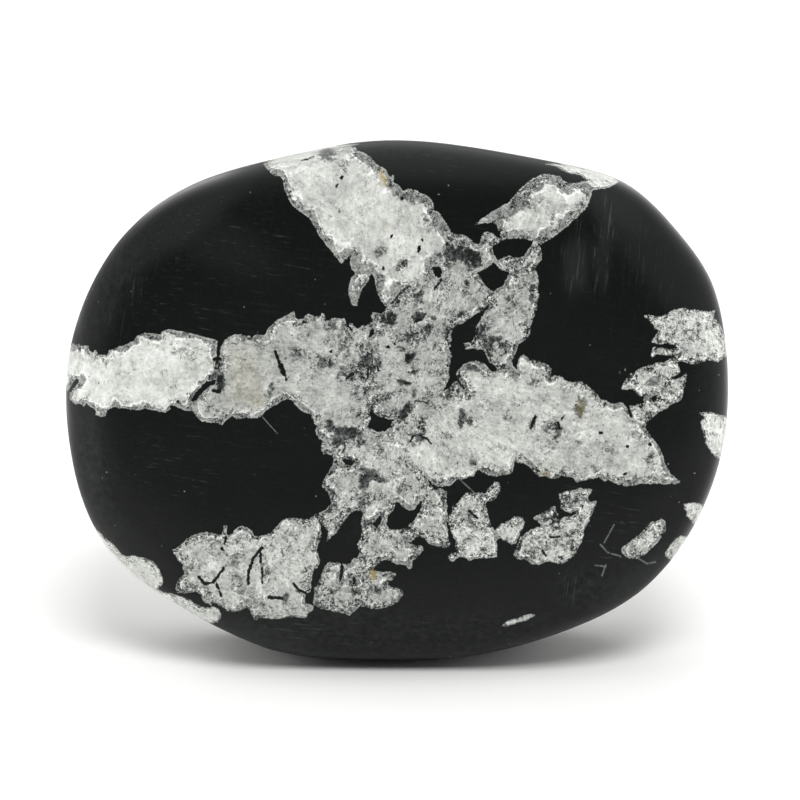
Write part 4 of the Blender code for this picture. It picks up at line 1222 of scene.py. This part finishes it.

    # Black limestone with the marks of polishing, and a painted sheen of reflected light along the rim and
    # the bottom
    across = noise(placed(turned(inMm, finish["acrossTilt"]), (0.13, 3.0, 3.0)), 1.0, 4, 0.7)
    upright = noise(placed(turned(inMm, finish["uprightTilt"]), (3.0, 0.3, 0.11)), 1.0, 4, 0.7)
    scratches = times(between(across, 0.58, 0.72), plus(read("scratchAcross"), 0.12))
    scratches = most(scratches, times(between(upright, 0.56, 0.70), plus(read("scratchUpright"), 0.03)))
    # worn matt places, and a painted reflection along the top, the bottom and the left rim
    scuffAndSheen = times(read("scuffAndSheen"), between(noise(inMm, 0.8, 5, 0.7), 0.3, 0.75))
    dust = times(between(cells(inMm, 0.42), 0.075, 0.035), between(noise(inMm, 0.13, 1), 0.5, 0.6))
    lightScratch = between(read("lightScratch"), 0.08, -0.04, 0.0, 0.42)
    # what lightens the black: scratches, wear and bloom, and a painted sheen of reflected light along the rim
    # and the bottom
    wear = plus(times(scratches, 1.5), times(scuffAndSheen, 0.5), times(fine, 0.20), times(read("hazeAndRimSheen"), 0.30))
    black = blend(maths("MINIMUM", wear, 1.0), finish["black"], finish["blackWornAndSheen"])
    black = blend(most(times(dust, 0.8), times(lightScratch, between(fine, 0.3, 0.5))), black, finish["dust"])
    crystalMask = times(crystalMask, unbroken)
    links.new(blend(crystalMask, black, body), shader.inputs["Base Color"])

    dull = most(most(wear, read("scuffAndSheen")), read("hazeAndRimSheen"))
    blackRoughness = between(dull, 0.0, 0.8, *finish["blackRoughness"])
    crystalRoughness = between(mottle, 0.3, 0.7, *finish["crystalRoughness"])
    links.new(mixed(crystalMask, blackRoughness, crystalRoughness), shader.inputs["Roughness"])

    bump = nodes.new("ShaderNodeBump")
    bump.inputs["Strength"].default_value = finish["bumpStrength"]
    bump.inputs["Distance"].default_value = finish["bumpDepth"]
    height = minus(times(fine, 0.4), times(scratches, 0.5))
    height = minus(height, times(blackGrains, crystalMask, 1.2))
    links.new(height, bump.inputs["Height"])
    links.new(bump.outputs["Normal"], shader.inputs["Normal"])
    return material


piece = copyOfSolid("stone")
smoothed(piece)
worn(piece)
print("the stone is smooth:", len(piece.data.vertices), "vertices")
for split in stone["splits"]:
    splitNearEdges(piece, *split)
writeFields(piece)
bpy.ops.object.shade_smooth_by_angle(angle=stone["creaseAngle"])
triangles = sum(len(polygon.vertices) - 2 for polygon in piece.data.polygons)
print("the crystals' edges are in:", triangles, "triangles")
piece.data.materials.clear()
piece.data.materials.append(limestone())
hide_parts("stone")
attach(piece, "root")
print("the stone has its finish")
